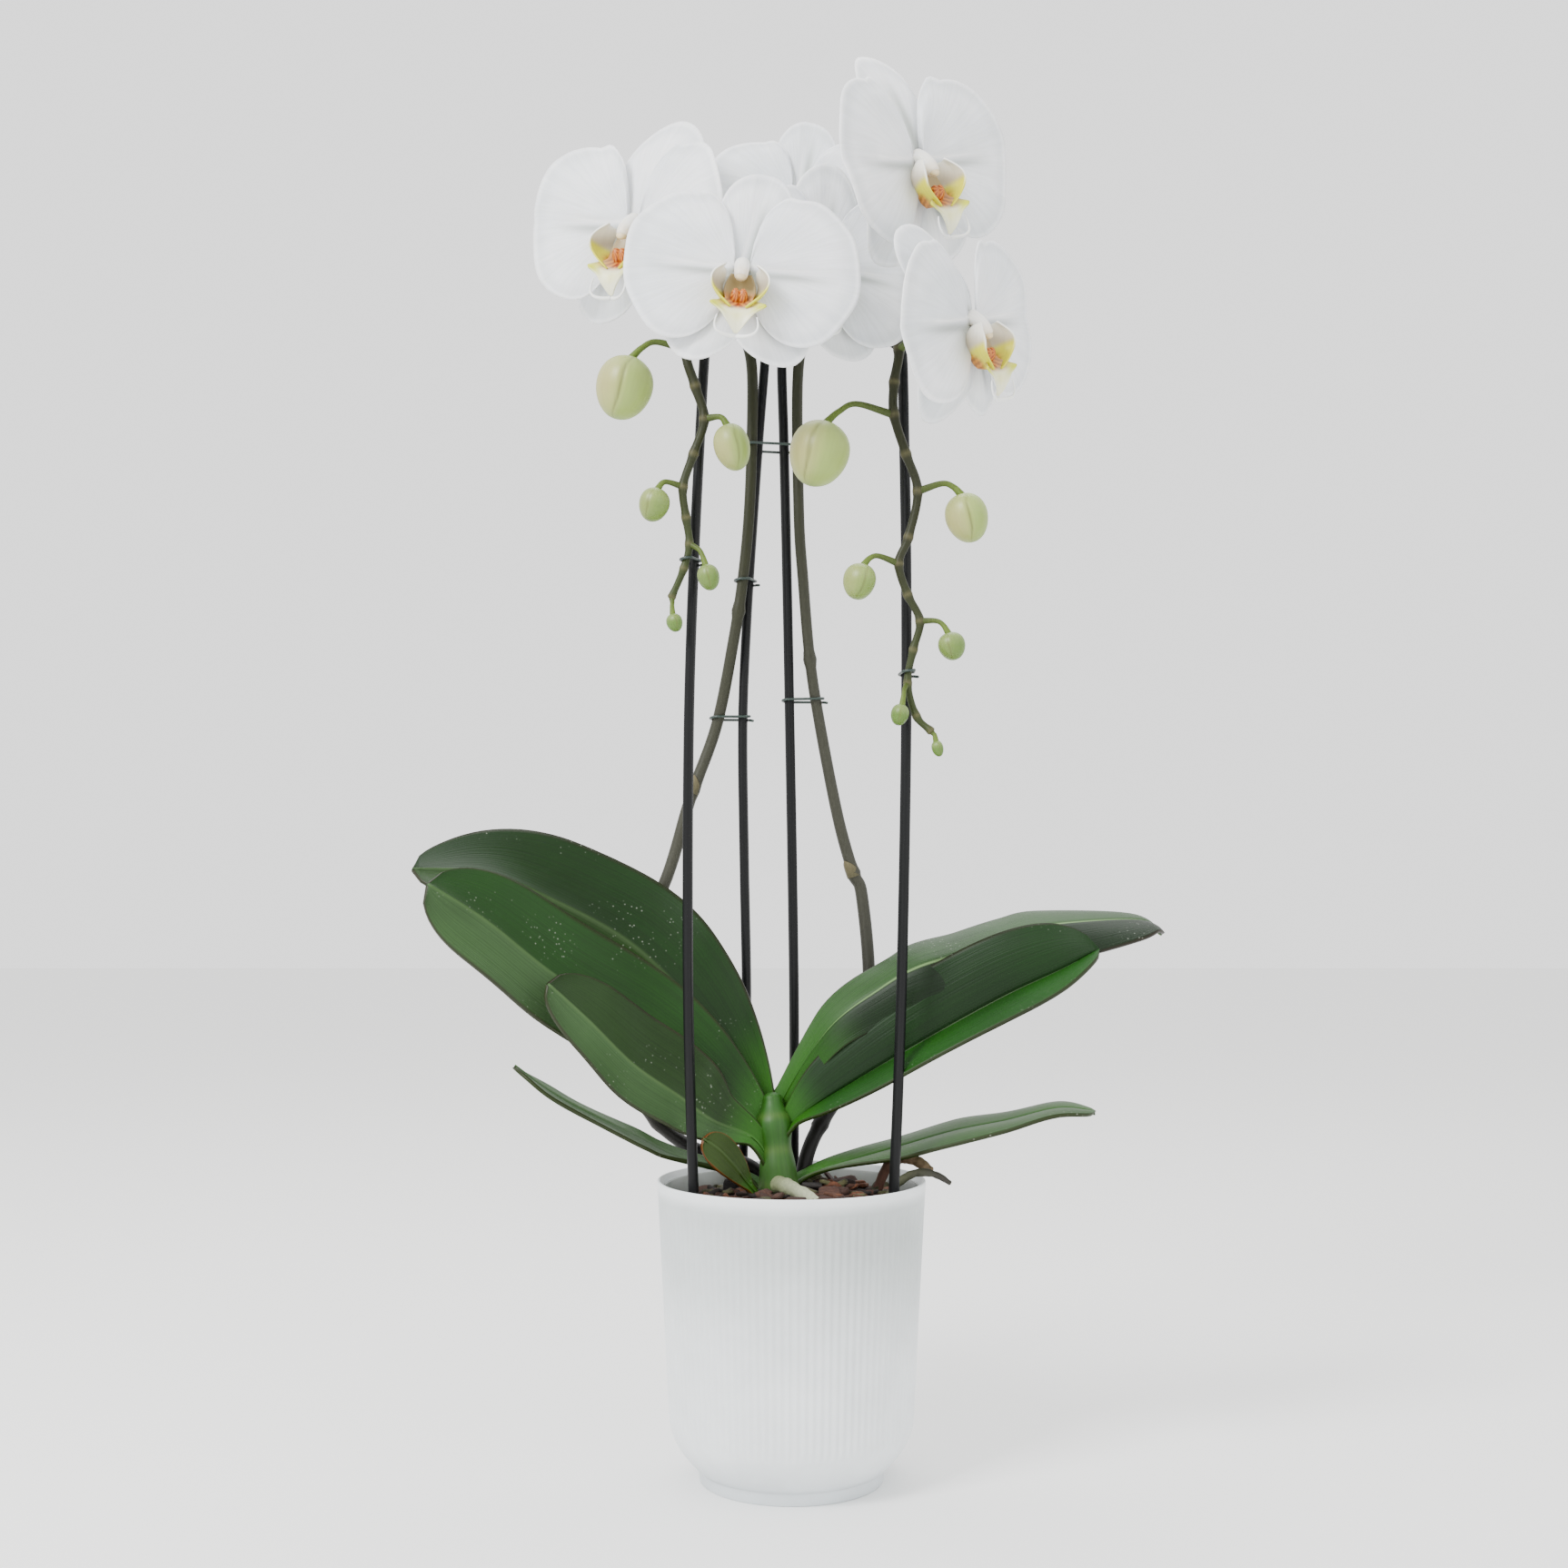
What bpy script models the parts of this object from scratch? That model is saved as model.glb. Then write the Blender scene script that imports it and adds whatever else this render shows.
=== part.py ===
"""Potted moth orchid with two arching flower spikes, as a Blender model.

Metres, +Z up. The origin is the centre of the cover pot's underside, -Y is the front.
The plant stands in bark in a clear grower's pot, and that stands in a frosted ribbed cover pot.
Each spike is tied to a hoop of plastic stick with small wire clips.
"""

import math

import bmesh
import bpy
from mathutils import Matrix, Vector

MM = 0.001

# Cover pot.
POT_HEIGHT = 137.0 * MM
RIM_RADIUS = 62.5 * MM
SHOULDER_RADIUS = 56.6 * MM
SHOULDER_HEIGHT = 30.0 * MM
FOOT_RADIUS = 42.5 * MM
FOOT_HEIGHT = 3.0 * MM
FOOT_LEDGE = 1.5 * MM
POT_WALL = 1.5 * MM
POT_FLOOR = 2.4 * MM
POT_SIDES = 40

# Grower's pot, which stands in the shoulder of the cover pot.
GROWER_WALL = 0.8 * MM
GROWER_BELOW_RIM = 3.0 * MM
GROWER_CLEARANCE = 1.0 * MM
GROWER_FOOT_HEIGHT = 14.0 * MM
DRAIN_HOLES = 5
DRAIN_HOLE_RADIUS = 4.0 * MM

# Bark.
BARK_BELOW_RIM = 13.0 * MM
BARK_MOUND = 9.0 * MM
BARK_ROUGHNESS = 1.6 * MM

# Space left between pieces that touch.
GAP = 0.3 * MM

# Plant.
CROWN_RADIUS = 9.0 * MM
LEAF_THICKNESS = 2.0 * MM
SPIKE_RADIUS = 3.6 * MM
SPIKE_TIP_RADIUS = 1.5 * MM
PEDICEL_RADIUS = 1.4 * MM
PETAL_THICKNESS = 0.9 * MM
PETAL_LENGTH = 51.0 * MM
PETAL_WIDTH = 68.0 * MM
SEPAL_LENGTH = 49.0 * MM
SEPAL_WIDTH = 34.0 * MM
SEPAL_SPREAD = math.radians(34.0)
SEPAL_SETBACK = 2.4 * MM
PETAL_REFLEX = 1.0
HUB_RADIUS = 4.0 * MM
COLUMN_LENGTH = 11.0 * MM
COLUMN_RADIUS = 2.8 * MM
LIP_WIDTH = 25.0 * MM
LIP_DROP = 29.0 * MM

# Hoops and clips. STICK_LEAN is how much nearer the wall a leg's buried end stands than its top.
STICK_RADIUS = 2.2 * MM
STICK_FROM_WALL = 5.5 * MM
STICK_DEPTH = 62.0 * MM
STICK_LEAN = 2.71 * MM
HOOP_TOP = 425.0 * MM
CLIP_WIRE = 0.65 * MM
CLIP_PLAY = 0.5 * MM

BARK_TOP = POT_HEIGHT - BARK_BELOW_RIM


def mm(x, y, z):
    """A point given in millimetres."""
    return Vector((x, y, z)) * MM


def above_bark(x, y, z):
    """A point given in millimetres, its height measured from the top of the bark at the wall."""
    return Vector((x * MM, y * MM, BARK_TOP + z * MM))


# Each hoop: where its legs stand round the bark, and how far each leg leans on the way up.
# A lean is (height over the bark, x, y) from the leg's foot, in millimetres.
HOOPS = {
    "left": {
        "front": (-147.0, [(0, 0, 0), (98, -3, -1), (222, -3, -3), (316, 0, -5), (393, 4, -7)]),
        "back": (117.0, [(0, 0, 0), (98, 2, -10), (228, 0, -10), (330, 5, -10), (413, 11, -12)]),
    },
    "right": {
        "front": (-29.0, [(0, 0, 0), (98, 4, -2), (222, 6.5, -5), (316, 6.5, -7), (393, 5, -9)]),
        "back": (88.5, [(0, 0, 0), (98, 0, -13), (228, -2, -13), (330, -4, -13), (413, -6, -15)]),
    },
}

# A leaf: midrib points over the bark, width of its far and near halves, then the slope of its far and near halves
# at the base, a third and two thirds along and the tip, in degrees over the horizontal.
LEAVES = {
    "leaf_left_top": {
        "midrib": [(-16, 7, 48), (-33, 10, 76), (-54, 12, 101), (-80, 13, 124),
                   (-115, 9, 143), (-144, 2, 155), (-177, -8, 157)],
        "half": (36.0, 30.0), "far": (85, 74, 62, 38), "near": (-80, -80, -72, -40)},
    "leaf_left_middle": {
        "midrib": [(-16, -1, 40), (-37, -3, 58), (-70, -3, 82), (-109, -14, 107),
                   (-140, -26, 133), (-165, -34, 150)],
        "half": (32.0, 26.0), "far": (85, 78, 68, 60), "near": (-84, -84, -52, -24)},
    "leaf_left_front": {
        "midrib": [(-18, -9, 33), (-36, -12, 41), (-52, -12, 52), (-73, -17, 67),
                   (-93, -27, 88), (-110, -36, 105)],
        "half": (26.0, 13.0), "far": (86, 82, 74, 66), "near": (-60, -62, -46, -30)},
    "leaf_right_top": {
        "midrib": [(-2, 4, 52), (18, -3, 83), (41, -6, 101), (58, -8, 111), (80, -8, 118),
                   (102, -6, 126), (122, -4, 131), (163, 2, 133), (175, 4, 127)],
        "half": (29.0, 29.0), "far": (60, 26, 10, 2), "near": (0, -50, -30, 0)},
    "leaf_right_front": {
        "midrib": [(2, 0, 40), (16, 0, 50), (42, 0, 66), (71, -3, 83), (100, -7, 99),
                   (125, -11, 111), (141, -15, 120)],
        "half": (24.0, 24.0), "far": (40, 12, 40, 50), "near": (0, -18, -16, -16)},
    "leaf_left_low": {
        "midrib": [(-22, 3, 13), (-53, 3, 22), (-72, 0, 32), (-99, -6, 46), (-115, -10, 56),
                   (-128, -14, 66)],
        "half": (17.0, 17.0), "far": (30, 8, 6, 4), "near": (20, -6, -6, -4)},
    "leaf_right_low": {
        "midrib": [(8, 2, 14), (30, 2, 21), (54, 2, 28), (77, -2, 35), (100, -6, 40),
                   (123, -10, 46), (140, -12, 45)],
        "half": (19.0, 19.0), "far": (30, 10, 8, 4), "near": (10, -14, -8, -4)},
    "leaf_basal": {
        "midrib": [(-19, -20, 12), (-26, -24, 22), (-33, -27, 30), (-40, -28.5, 35)],
        "half": (8.0, 8.0), "far": (85, 82, 80, 78), "near": (-80, -80, -80, -78)},
}

# A spike: free points over the bark (x, y, height), then points tied to its hoop, each
# (leg, height, x, y) with the offset from the leg's middle, in millimetres.
SPIKES = {
    "left": {
        "free": [(-10, 9, 8), (-20, 13, 17), (-36, 17, 21), (-50, 20, 26), (-64, 26, 36),
                 (-76, 31, 52), (-85, 34, 76), (-79, 36, 112)],
        "tied": [("back", 154, -38, 0), ("back", 192, -26, 0), ("back", 228, -13, 0),
                 ("back", 268, -6, -6), ("back", 299, -3, -8), ("back", 330, -2, -8.5),
                 ("back", 366, -3, -8), ("back", 405, -6, -5)],
        "over": [(-7, 0, 1), (-5, 0, 6), (-3, -5, 7)],
        "front": [("front", 393, -8, -8), ("front", 376, -3, -9), ("front", 361, 2, -9),
                  ("front", 345, -2, -9), ("front", 330, -6, -9), ("front", 316, -4, -8.5),
                  ("front", 304, -2, -8.5), ("front", 293, -4, -8.5), ("front", 280, -9, -8)],
    },
    "right": {
        "free": [(4, 9, 8), (8, 13, 24), (14, 19, 36), (24, 27, 51), (33, 33, 73), (38, 37, 103)],
        "tied": [("back", 145, 34, 3), ("back", 156, 30, 3), ("back", 183, 23, 2),
                 ("back", 228, 15, 0), ("back", 261, 10.5, -3), ("back", 299, 8, -5),
                 ("back", 335, 6.5, -7), ("back", 405, 8, -4)],
        "over": [(7, 0, 1), (6, 0, 6), (3, -5, 7)],
        "front": [("front", 393, -2, -8.5), ("front", 378, -4.5, -9), ("front", 363, -5, -9.5),
                  ("front", 345, 0, -10), ("front", 328, 5, -10), ("front", 307, 0.5, -10),
                  ("front", 295, -4, -10), ("front", 281, 0, -9.5), ("front", 269, 5.5, -9.5),
                  ("front", 256, 2.5, -9), ("front", 241, 0, -8.5), ("front", 226, 4, -9),
                  ("front", 219, 10.5, -11)],
    },
}

# A bud: its spike, where its stalk leaves the spike (0 starts the front run),
# its middle from that point (x, y, z), width and length, all in millimetres.
BUDS = {
    "bud_left_1": ("left", 0, (-28, -5, -19), 26.0, 29.0),
    "bud_left_2": ("left", 2, (13, -4, -14), 16.5, 21.5),
    "bud_left_3": ("left", 4, (-13, -4, -9), 14.0, 15.5),
    "bud_left_4": ("left", 6, (9, -5, -16), 10.0, 12.0),
    "bud_left_5": ("left", 8, (1.5, -2, -12), 7.4, 8.4),
    "bud_right_1": ("right", 2, (-34.5, -5, -19), 27.5, 30.0),
    "bud_right_2": ("right", 4, (22, -4, -13), 19.5, 22.5),
    "bud_right_3": ("right", 6, (-18, -5, -9), 15.0, 16.5),
    "bud_right_4": ("right", 8, (14, -4, -12), 12.4, 12.8),
    "bud_right_5": ("right", 10, (-4, -6, -15), 8.2, 9.8),
    "bud_right_6": ("right", 12, (3, -1, -8), 5.4, 7.4),
}

# A flower: its spike, where its stalk leaves (below 0 is back over the arch), its middle over
# the bark, yaw, pitch and roll in degrees, cup of its petals in degrees, how far its sepals
# curve back (per metre), its scale and how far its stalk bows up, in millimetres.
FLOWERS = {
    "flower_1": ("left", -1, (-73, -36, 454), (-32, 0, 10), 12, 5.0, 1.07, 3),
    "flower_2": ("left", 0, (-21.5, -94, 414), (2, -6, 5), 2, 2.0, 1.0, -8),
    "flower_3": ("right", -1, (57, -60, 474.5), (42, -2, -16), 10, 6.0, 1.08, 3),
    "flower_4": ("right", 0, (79, -78, 396), (52, 2, -16), 1, 5.0, 1.02, 3),
    "flower_5": ("right", -1, (13.4, -60, 427), (18, 0, 7), 3, 1.0, 0.98, 3),
    "flower_6": ("left", -2, (3, -22, 473), (-6, -16, 6), 0, 1.0, 0.9, 3),
}

# A root: points over the bark and their radius, in millimetres. A root that lies over the rim
# has its x measured out from the rim.
ROOTS = {
    "root_front": [(-6, -12, 12, 3.4), (-3, -19, 12.5, 3.2), (4, -24, 10, 2.9), (12, -28, 6, 2.6),
                   (22, -31, 3.5, 2.2)],
    "root_over_rim": [(-20.5, -16, 4, 1.7), (-14.5, -14, 12, 1.8), (-7.5, -12, 16.6, 1.9),
                      (-0.5, -11, 17.4, 1.8), (5.5, -10, 15.6, 1.5), (10.5, -10, 12.5, 1.2)],
    "root_dry": [(-22.5, 8, 6, 2.2), (-17.5, 7, 17, 2.6), (-10.5, 5, 22, 2.8), (-3.5, 3, 20.5, 2.6),
                 (2.5, 1, 16.6, 2.0)],
}
OVER_RIM = ("root_over_rim", "root_dry")


# ---------------------------------------------------------------- scene and materials

def clear_scene():
    """Removes what the startup file holds."""
    for obj in list(bpy.data.objects):
        bpy.data.objects.remove(obj, do_unlink=True)


def new_collection(name, shown=True):
    """A collection in the scene, hidden from renders when it holds cutters."""
    collection = bpy.data.collections.new(name)
    bpy.context.scene.collection.children.link(collection)
    collection.hide_render = not shown
    return collection


def material(name, colour, roughness, metallic=0.0, alpha=1.0):
    """A Principled material, made once for each name."""
    made = bpy.data.materials.get(name)
    if made is None:
        made = bpy.data.materials.new(name)
        made.use_nodes = True
        shader = made.node_tree.nodes["Principled BSDF"]
        shader.inputs["Base Color"].default_value = (*colour, 1.0)
        shader.inputs["Roughness"].default_value = roughness
        shader.inputs["Metallic"].default_value = metallic
        shader.inputs["Alpha"].default_value = alpha
        made.diffuse_color = (*colour, 1.0)
    return made


MATERIALS = {
    "frosted_plastic": ((0.72, 0.76, 0.78), 0.45),
    "clear_plastic": ((0.62, 0.66, 0.66), 0.25),
    "bark": ((0.12, 0.055, 0.03), 0.9),
    "crown_green": ((0.08, 0.25, 0.03), 0.5),
    "leaf_green": ((0.02, 0.09, 0.012), 0.4),
    "stem_green": ((0.05, 0.07, 0.035), 0.55),
    "stick_black": ((0.012, 0.012, 0.014), 0.4),
    "clip_dark": ((0.02, 0.03, 0.03), 0.45),
    "bud_green": ((0.38, 0.48, 0.18), 0.5),
    "petal_white": ((0.9, 0.9, 0.92), 0.6),
    "lip_yellow": ((0.85, 0.7, 0.12), 0.5),
    "column_white": ((0.9, 0.87, 0.82), 0.5),
    "root_grey_green": ((0.32, 0.36, 0.24), 0.7),
}


def finish(obj, collection, slot):
    """Puts the object in its collection, with its material."""
    for old in list(obj.users_collection):
        old.objects.unlink(obj)
    collection.objects.link(obj)
    obj.data.materials.clear()
    obj.data.materials.append(material(slot, *MATERIALS[slot]))
    return obj


def object_from(name, bm, collection, slot):
    """An object from a bmesh, its faces turned outward."""
    bmesh.ops.recalc_face_normals(bm, faces=bm.faces)
    mesh = bpy.data.meshes.new(name)
    bm.to_mesh(mesh)
    bm.free()
    obj = bpy.data.objects.new(name, mesh)
    return finish(obj, collection, slot)


def cutter_from(name, bm):
    """A hidden solid that only cuts."""
    obj = object_from(name, bm, CUTTERS, "bark")
    obj.hide_render = True
    obj.display_type = "WIRE"
    return obj


def combine(obj, other, operation):
    """One Boolean, applied at once."""
    step = obj.modifiers.new(operation.lower(), "BOOLEAN")
    step.operation = operation
    step.solver = "EXACT"
    step.object = other
    apply_modifiers(obj)


def apply_modifiers(obj):
    """Replaces the object's mesh by its evaluated mesh."""
    graph = bpy.context.evaluated_depsgraph_get()
    mesh = bpy.data.meshes.new_from_object(obj.evaluated_get(graph))
    obj.modifiers.clear()
    obj.data = mesh


def turned(name, profile, collection, slot, sides=POT_SIDES):
    """A solid of revolution from (radius, height) points, outer side first, top to bottom."""
    bm = bmesh.new()
    points = [bm.verts.new((radius, 0, height)) for radius, height in profile]
    for first, second in zip(points, points[1:]):
        bm.edges.new((first, second))
    mesh = bpy.data.meshes.new(name)
    bm.to_mesh(mesh)
    bm.free()
    obj = bpy.data.objects.new(name, mesh)
    finish(obj, collection, slot)
    screw = obj.modifiers.new("turn", "SCREW")
    screw.steps = sides
    screw.render_steps = sides
    screw.use_merge_vertices = True
    screw.merge_threshold = 0.00001
    apply_modifiers(obj)
    return obj


def catmull(points, per_span):
    """A smooth run of points through the given ones, with the fourth value as radius."""
    given = [Vector(point) for point in points]
    padded = [2 * given[0] - given[1], *given, 2 * given[-1] - given[-2]]
    run = []
    for start in range(1, len(padded) - 2):
        before, here, there, after = padded[start - 1:start + 3]
        for step in range(per_span):
            t = step / per_span
            run.append(0.5 * ((2 * here) + (there - before) * t
                              + (2 * before - 5 * here + 4 * there - after) * t * t
                              + (3 * here - before - 3 * there + after) * t ** 3))
    run.append(given[-1])
    return run


def tube_mesh(name, path, sides=3):
    """A round tube along (x, y, z, radius) points, capped at both ends."""
    curve = bpy.data.curves.new(name, "CURVE")
    curve.dimensions = "3D"
    curve.bevel_depth = 1.0
    curve.bevel_resolution = sides - 2
    curve.use_fill_caps = True
    spline = curve.splines.new("POLY")
    spline.points.add(len(path) - 1)
    for point, value in zip(spline.points, path):
        point.co = (value[0], value[1], value[2], 1.0)
        point.radius = value[3]
    holder = bpy.data.objects.new(name + "_path", curve)
    bpy.context.scene.collection.objects.link(holder)
    bpy.context.view_layer.update()
    graph = bpy.context.evaluated_depsgraph_get()
    mesh = bpy.data.meshes.new_from_object(holder.evaluated_get(graph))
    bpy.data.objects.remove(holder, do_unlink=True)
    bpy.data.curves.remove(curve)
    bm = bmesh.new()
    bm.from_mesh(mesh)
    bpy.data.meshes.remove(mesh)
    bmesh.ops.remove_doubles(bm, verts=bm.verts, dist=0.000002)
    return bm


def tube(name, path, collection, slot, sides=3):
    """A tube as an object."""
    return object_from(name, tube_mesh(name, path, sides), collection, slot)


def sheet(name, rows, thickness, collection, slot, closed=False):
    """A sheet through a grid of points, thickened both ways. Rows may close into rings."""
    bm = bmesh.new()
    grid = [[bm.verts.new(point) for point in row] for row in rows]
    wide = len(grid[0])
    for above, below in zip(grid, grid[1:]):
        for column in range(wide if closed else wide - 1):
            after = (column + 1) % wide
            bm.faces.new((above[column], above[after], below[after], below[column]))
    bmesh.ops.remove_doubles(bm, verts=bm.verts, dist=0.00001)
    obj = object_from(name, bm, collection, slot)
    solid = obj.modifiers.new("thickness", "SOLIDIFY")
    solid.thickness = thickness
    solid.offset = 0.0
    apply_modifiers(obj)
    return obj


# ---------------------------------------------------------------- pots and bark

def outer_profile():
    """The cover pot's outer wall, (radius, height) from the rim down to the foot."""
    run = [(RIM_RADIUS, POT_HEIGHT)]
    run.append((SHOULDER_RADIUS, SHOULDER_HEIGHT))
    narrow = FOOT_RADIUS + FOOT_LEDGE
    for step in range(1, 6):
        share = step / 5
        radius = SHOULDER_RADIUS - (SHOULDER_RADIUS - narrow) * share ** 2
        height = SHOULDER_HEIGHT - (SHOULDER_HEIGHT - FOOT_HEIGHT) * share
        run.append((radius, height))
    run.append((FOOT_RADIUS, FOOT_HEIGHT))
    return run


def outer_radius(height):
    """Outer radius of the cover pot at a height."""
    run = outer_profile()
    for (high_radius, high), (low_radius, low) in zip(run, run[1:]):
        if low <= height <= high:
            share = (height - low) / (high - low)
            return low_radius + share * (high_radius - low_radius)
    return FOOT_RADIUS


def build_cover_pot():
    """The frosted outer pot: a thin wall, a rounded shoulder and a flat round foot."""
    wall = outer_profile()
    inside = [(radius - POT_WALL, height) for radius, height in wall if height > FOOT_HEIGHT + POT_FLOOR]
    inside = [(radius, height) for radius, height in inside if radius > FOOT_RADIUS]
    floor = FOOT_HEIGHT + POT_FLOOR
    profile = wall + [(FOOT_RADIUS, 0.0), (0.0, 0.0), (0.0, floor)]
    profile += [(outer_radius(floor) - 1.4 * POT_WALL, floor)] + inside[::-1] + [wall[0]]
    return turned("cover_pot", profile, MODEL, "frosted_plastic")


def grower_top():
    return POT_HEIGHT - GROWER_BELOW_RIM


def grower_radius(height):
    """Outer radius of the grower's pot, a straight taper inside the cover pot."""
    low = outer_radius(GROWER_FOOT_HEIGHT) - POT_WALL - GAP
    high = outer_radius(grower_top()) - POT_WALL - GROWER_CLEARANCE
    share = (height - GROWER_FOOT_HEIGHT) / (grower_top() - GROWER_FOOT_HEIGHT)
    return low - 0.6 * MM + share * (high - low + 0.6 * MM)


def build_grower_pot():
    """The clear inner pot, with drain holes through its floor."""
    low = GROWER_FOOT_HEIGHT
    top = grower_top()
    floor = low + GROWER_WALL
    profile = [
        (grower_radius(top), top),
        (grower_radius(low), low),
        (0.0, low),
        (0.0, floor),
        (grower_radius(floor) - GROWER_WALL, floor),
        (grower_radius(top) - GROWER_WALL, top),
        (grower_radius(top), top),
    ]
    pot = turned("grower_pot", profile, MODEL, "clear_plastic")
    ring = grower_radius(low) * 0.6
    for count in range(DRAIN_HOLES):
        turn = math.tau * count / DRAIN_HOLES
        bm = bmesh.new()
        place = Matrix.Translation((ring * math.cos(turn), ring * math.sin(turn), low))
        bmesh.ops.create_cone(bm, cap_ends=True, segments=8, radius1=DRAIN_HOLE_RADIUS,
                              radius2=DRAIN_HOLE_RADIUS, depth=GROWER_WALL * 6, matrix=place)
        combine(pot, cutter_from("drain_cutter", bm), "DIFFERENCE")
    return pot


def bark_radius(height):
    return grower_radius(height) - GROWER_WALL - GAP


def bark_height(x, y):
    """Height of the bark's top: a low mound, rough with chips."""
    reach = bark_radius(BARK_TOP)
    out = min(1.0, math.hypot(x, y) / reach)
    lumps = math.sin(x * 410 + 1.0) * math.cos(y * 370 + 0.5) + 0.6 * math.sin((x + y) * 700)
    mound = BARK_MOUND * (1 - out ** 2) * (1.0 + 6.0 * x)
    return BARK_TOP + mound + BARK_ROUGHNESS * lumps * (1 - out ** 4)


def build_bark(crown, roots):
    """The bark that fills the grower's pot, with room for the sticks, the crown and roots."""
    low = GROWER_FOOT_HEIGHT + GROWER_WALL + GAP
    profile = [
        (bark_radius(BARK_TOP), BARK_TOP),
        (bark_radius(low), low),
        (0.0, low),
        (0.0, BARK_TOP),
        (bark_radius(BARK_TOP) / 4, BARK_TOP),
        (bark_radius(BARK_TOP) / 2, BARK_TOP),
        (bark_radius(BARK_TOP) * 3 / 4, BARK_TOP),
        (bark_radius(BARK_TOP), BARK_TOP),
    ]
    bark = turned("bark_medium", profile, MODEL, "bark", 36)
    for vertex in bark.data.vertices:
        if vertex.co.z > BARK_TOP - 0.1 * MM:
            vertex.co.z = bark_height(vertex.co.x, vertex.co.y)
    for side in HOOPS:
        bore = cutter_from("stick_cutter", tube_mesh("stick_cutter", swollen(hoop_path(side)), 3))
        combine(bark, bore, "DIFFERENCE")
    grown = [(PATHS[root], 3) for root in roots] + [(PATHS[crown], 5)]
    grown += [(SPIKE_PATHS[side][:7], 3) for side in SPIKES]
    for path, sides in grown:
        cutter = cutter_from("root_cutter", tube_mesh("root_cutter", swollen(path), sides))
        combine(bark, cutter, "DIFFERENCE")
    return bark


def swollen(path):
    """The same path with room round it, and a little longer at each end."""
    first = Vector(path[0][:3])
    last = Vector(path[-1][:3])
    before = first + (first - Vector(path[1][:3])).normalized() * GAP
    after = last + (last - Vector(path[-2][:3])).normalized() * GAP
    run = [(*before, path[0][3] + GAP)]
    run += [(*point[:3], point[3] + GAP) for point in path[1:-1]]
    run.append((*after, path[-1][3] + GAP))
    return run


# ---------------------------------------------------------------- hoops and clips

def leg_point(side, leg, height):
    """Middle of a hoop's leg at a height over the bark, in metres."""
    turn, leans = HOOPS[side][leg]
    turn = math.radians(turn)
    reach = bark_radius(BARK_TOP) - STICK_FROM_WALL
    foot = Vector((reach * math.cos(turn), reach * math.sin(turn), BARK_TOP))
    if height <= 0:
        wall_lean = bark_radius(BARK_TOP) - bark_radius(BARK_TOP + height)
        inward = wall_lean - STICK_LEAN * (-height / STICK_DEPTH)
        return foot + Vector((-foot.x, -foot.y, 0)).normalized() * inward + Vector((0, 0, height))
    run = catmull([(z * MM, x * MM, y * MM) for z, x, y in leans], 6)
    for low, high in zip(run, run[1:]):
        if low[0] <= height <= high[0]:
            share = (height - low[0]) / (high[0] - low[0])
            lean = low + share * (high - low)
            return foot + Vector((lean[1], lean[2], height))
    return foot + Vector((run[-1][1], run[-1][2], height))


def arch(side):
    """Points over the top of a hoop, from its back leg to its front leg."""
    back = leg_point(side, "back", 413 * MM)
    front = leg_point(side, "front", 393 * MM)
    rise = BARK_TOP + HOOP_TOP
    run = []
    for step in range(1, 8):
        turn = math.pi * step / 8
        flat = (1 - math.cos(turn)) / 2
        ends = back.lerp(front, flat)
        lift = (rise - max(back.z, front.z)) * math.sin(turn)
        run.append(Vector((ends.x, ends.y, ends.z + lift)))
    return run


def hoop_path(side):
    """The whole stick, from its back foot over the top to its front foot."""
    up = [leg_point(side, "back", height * MM)
          for height in (-STICK_DEPTH / MM, 0, 50, 98, 163, 228, 280, 330, 372, 413)]
    down = [leg_point(side, "front", height * MM)
            for height in (393, 355, 316, 268, 222, 160, 98, 50, 0, -STICK_DEPTH / MM)]
    return [(*point, STICK_RADIUS) for point in up + arch(side) + down]


def spike_at(side, height, run):
    """Where a spike's path passes a height, on the way up or on the way down."""
    path = SPIKE_PATHS[side]
    top = max(range(len(path)), key=lambda index: path[index][2])
    stretch = path[:top + 1] if run == "back" else path[:top - 1:-1]
    level = BARK_TOP + height * MM
    for low, high in zip(stretch, stretch[1:]):
        if low[2] <= level <= high[2]:
            share = (level - low[2]) / (high[2] - low[2])
            return Vector(low) + share * (Vector(high) - Vector(low))
    return Vector(stretch[-1])


def loop_round(places, clearance):
    """A loop of points round circles (x, y, radius): their convex outline, from many angles."""
    turns = [math.tau * step / 16 for step in range(18)]
    run = []
    for turn in turns:
        way = Vector((math.cos(turn), math.sin(turn)))
        far = max(places, key=lambda place: place[0] * way.x + place[1] * way.y + place[2])
        reach = far[2] + clearance
        run.append(Vector((far[0] + way.x * reach, far[1] + way.y * reach)))
    return run


CLIPS = {
    "clip_left_low": (232, [("stick", "left", "back"), ("spike", "left", "back")]),
    "clip_left_high": (299, [("stick", "left", "back"), ("spike", "left", "back")]),
    "clip_right_low": (241, [("stick", "right", "back"), ("spike", "right", "back")]),
    "clip_top": (366, [("stick", "left", "back"), ("spike", "left", "back"),
                       ("stick", "right", "back"), ("spike", "right", "back")]),
    "clip_left_front": (297, [("stick", "left", "front"), ("spike", "left", "front")]),
    "clip_right_front": (246, [("stick", "right", "front"), ("spike", "right", "front")]),
}


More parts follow.
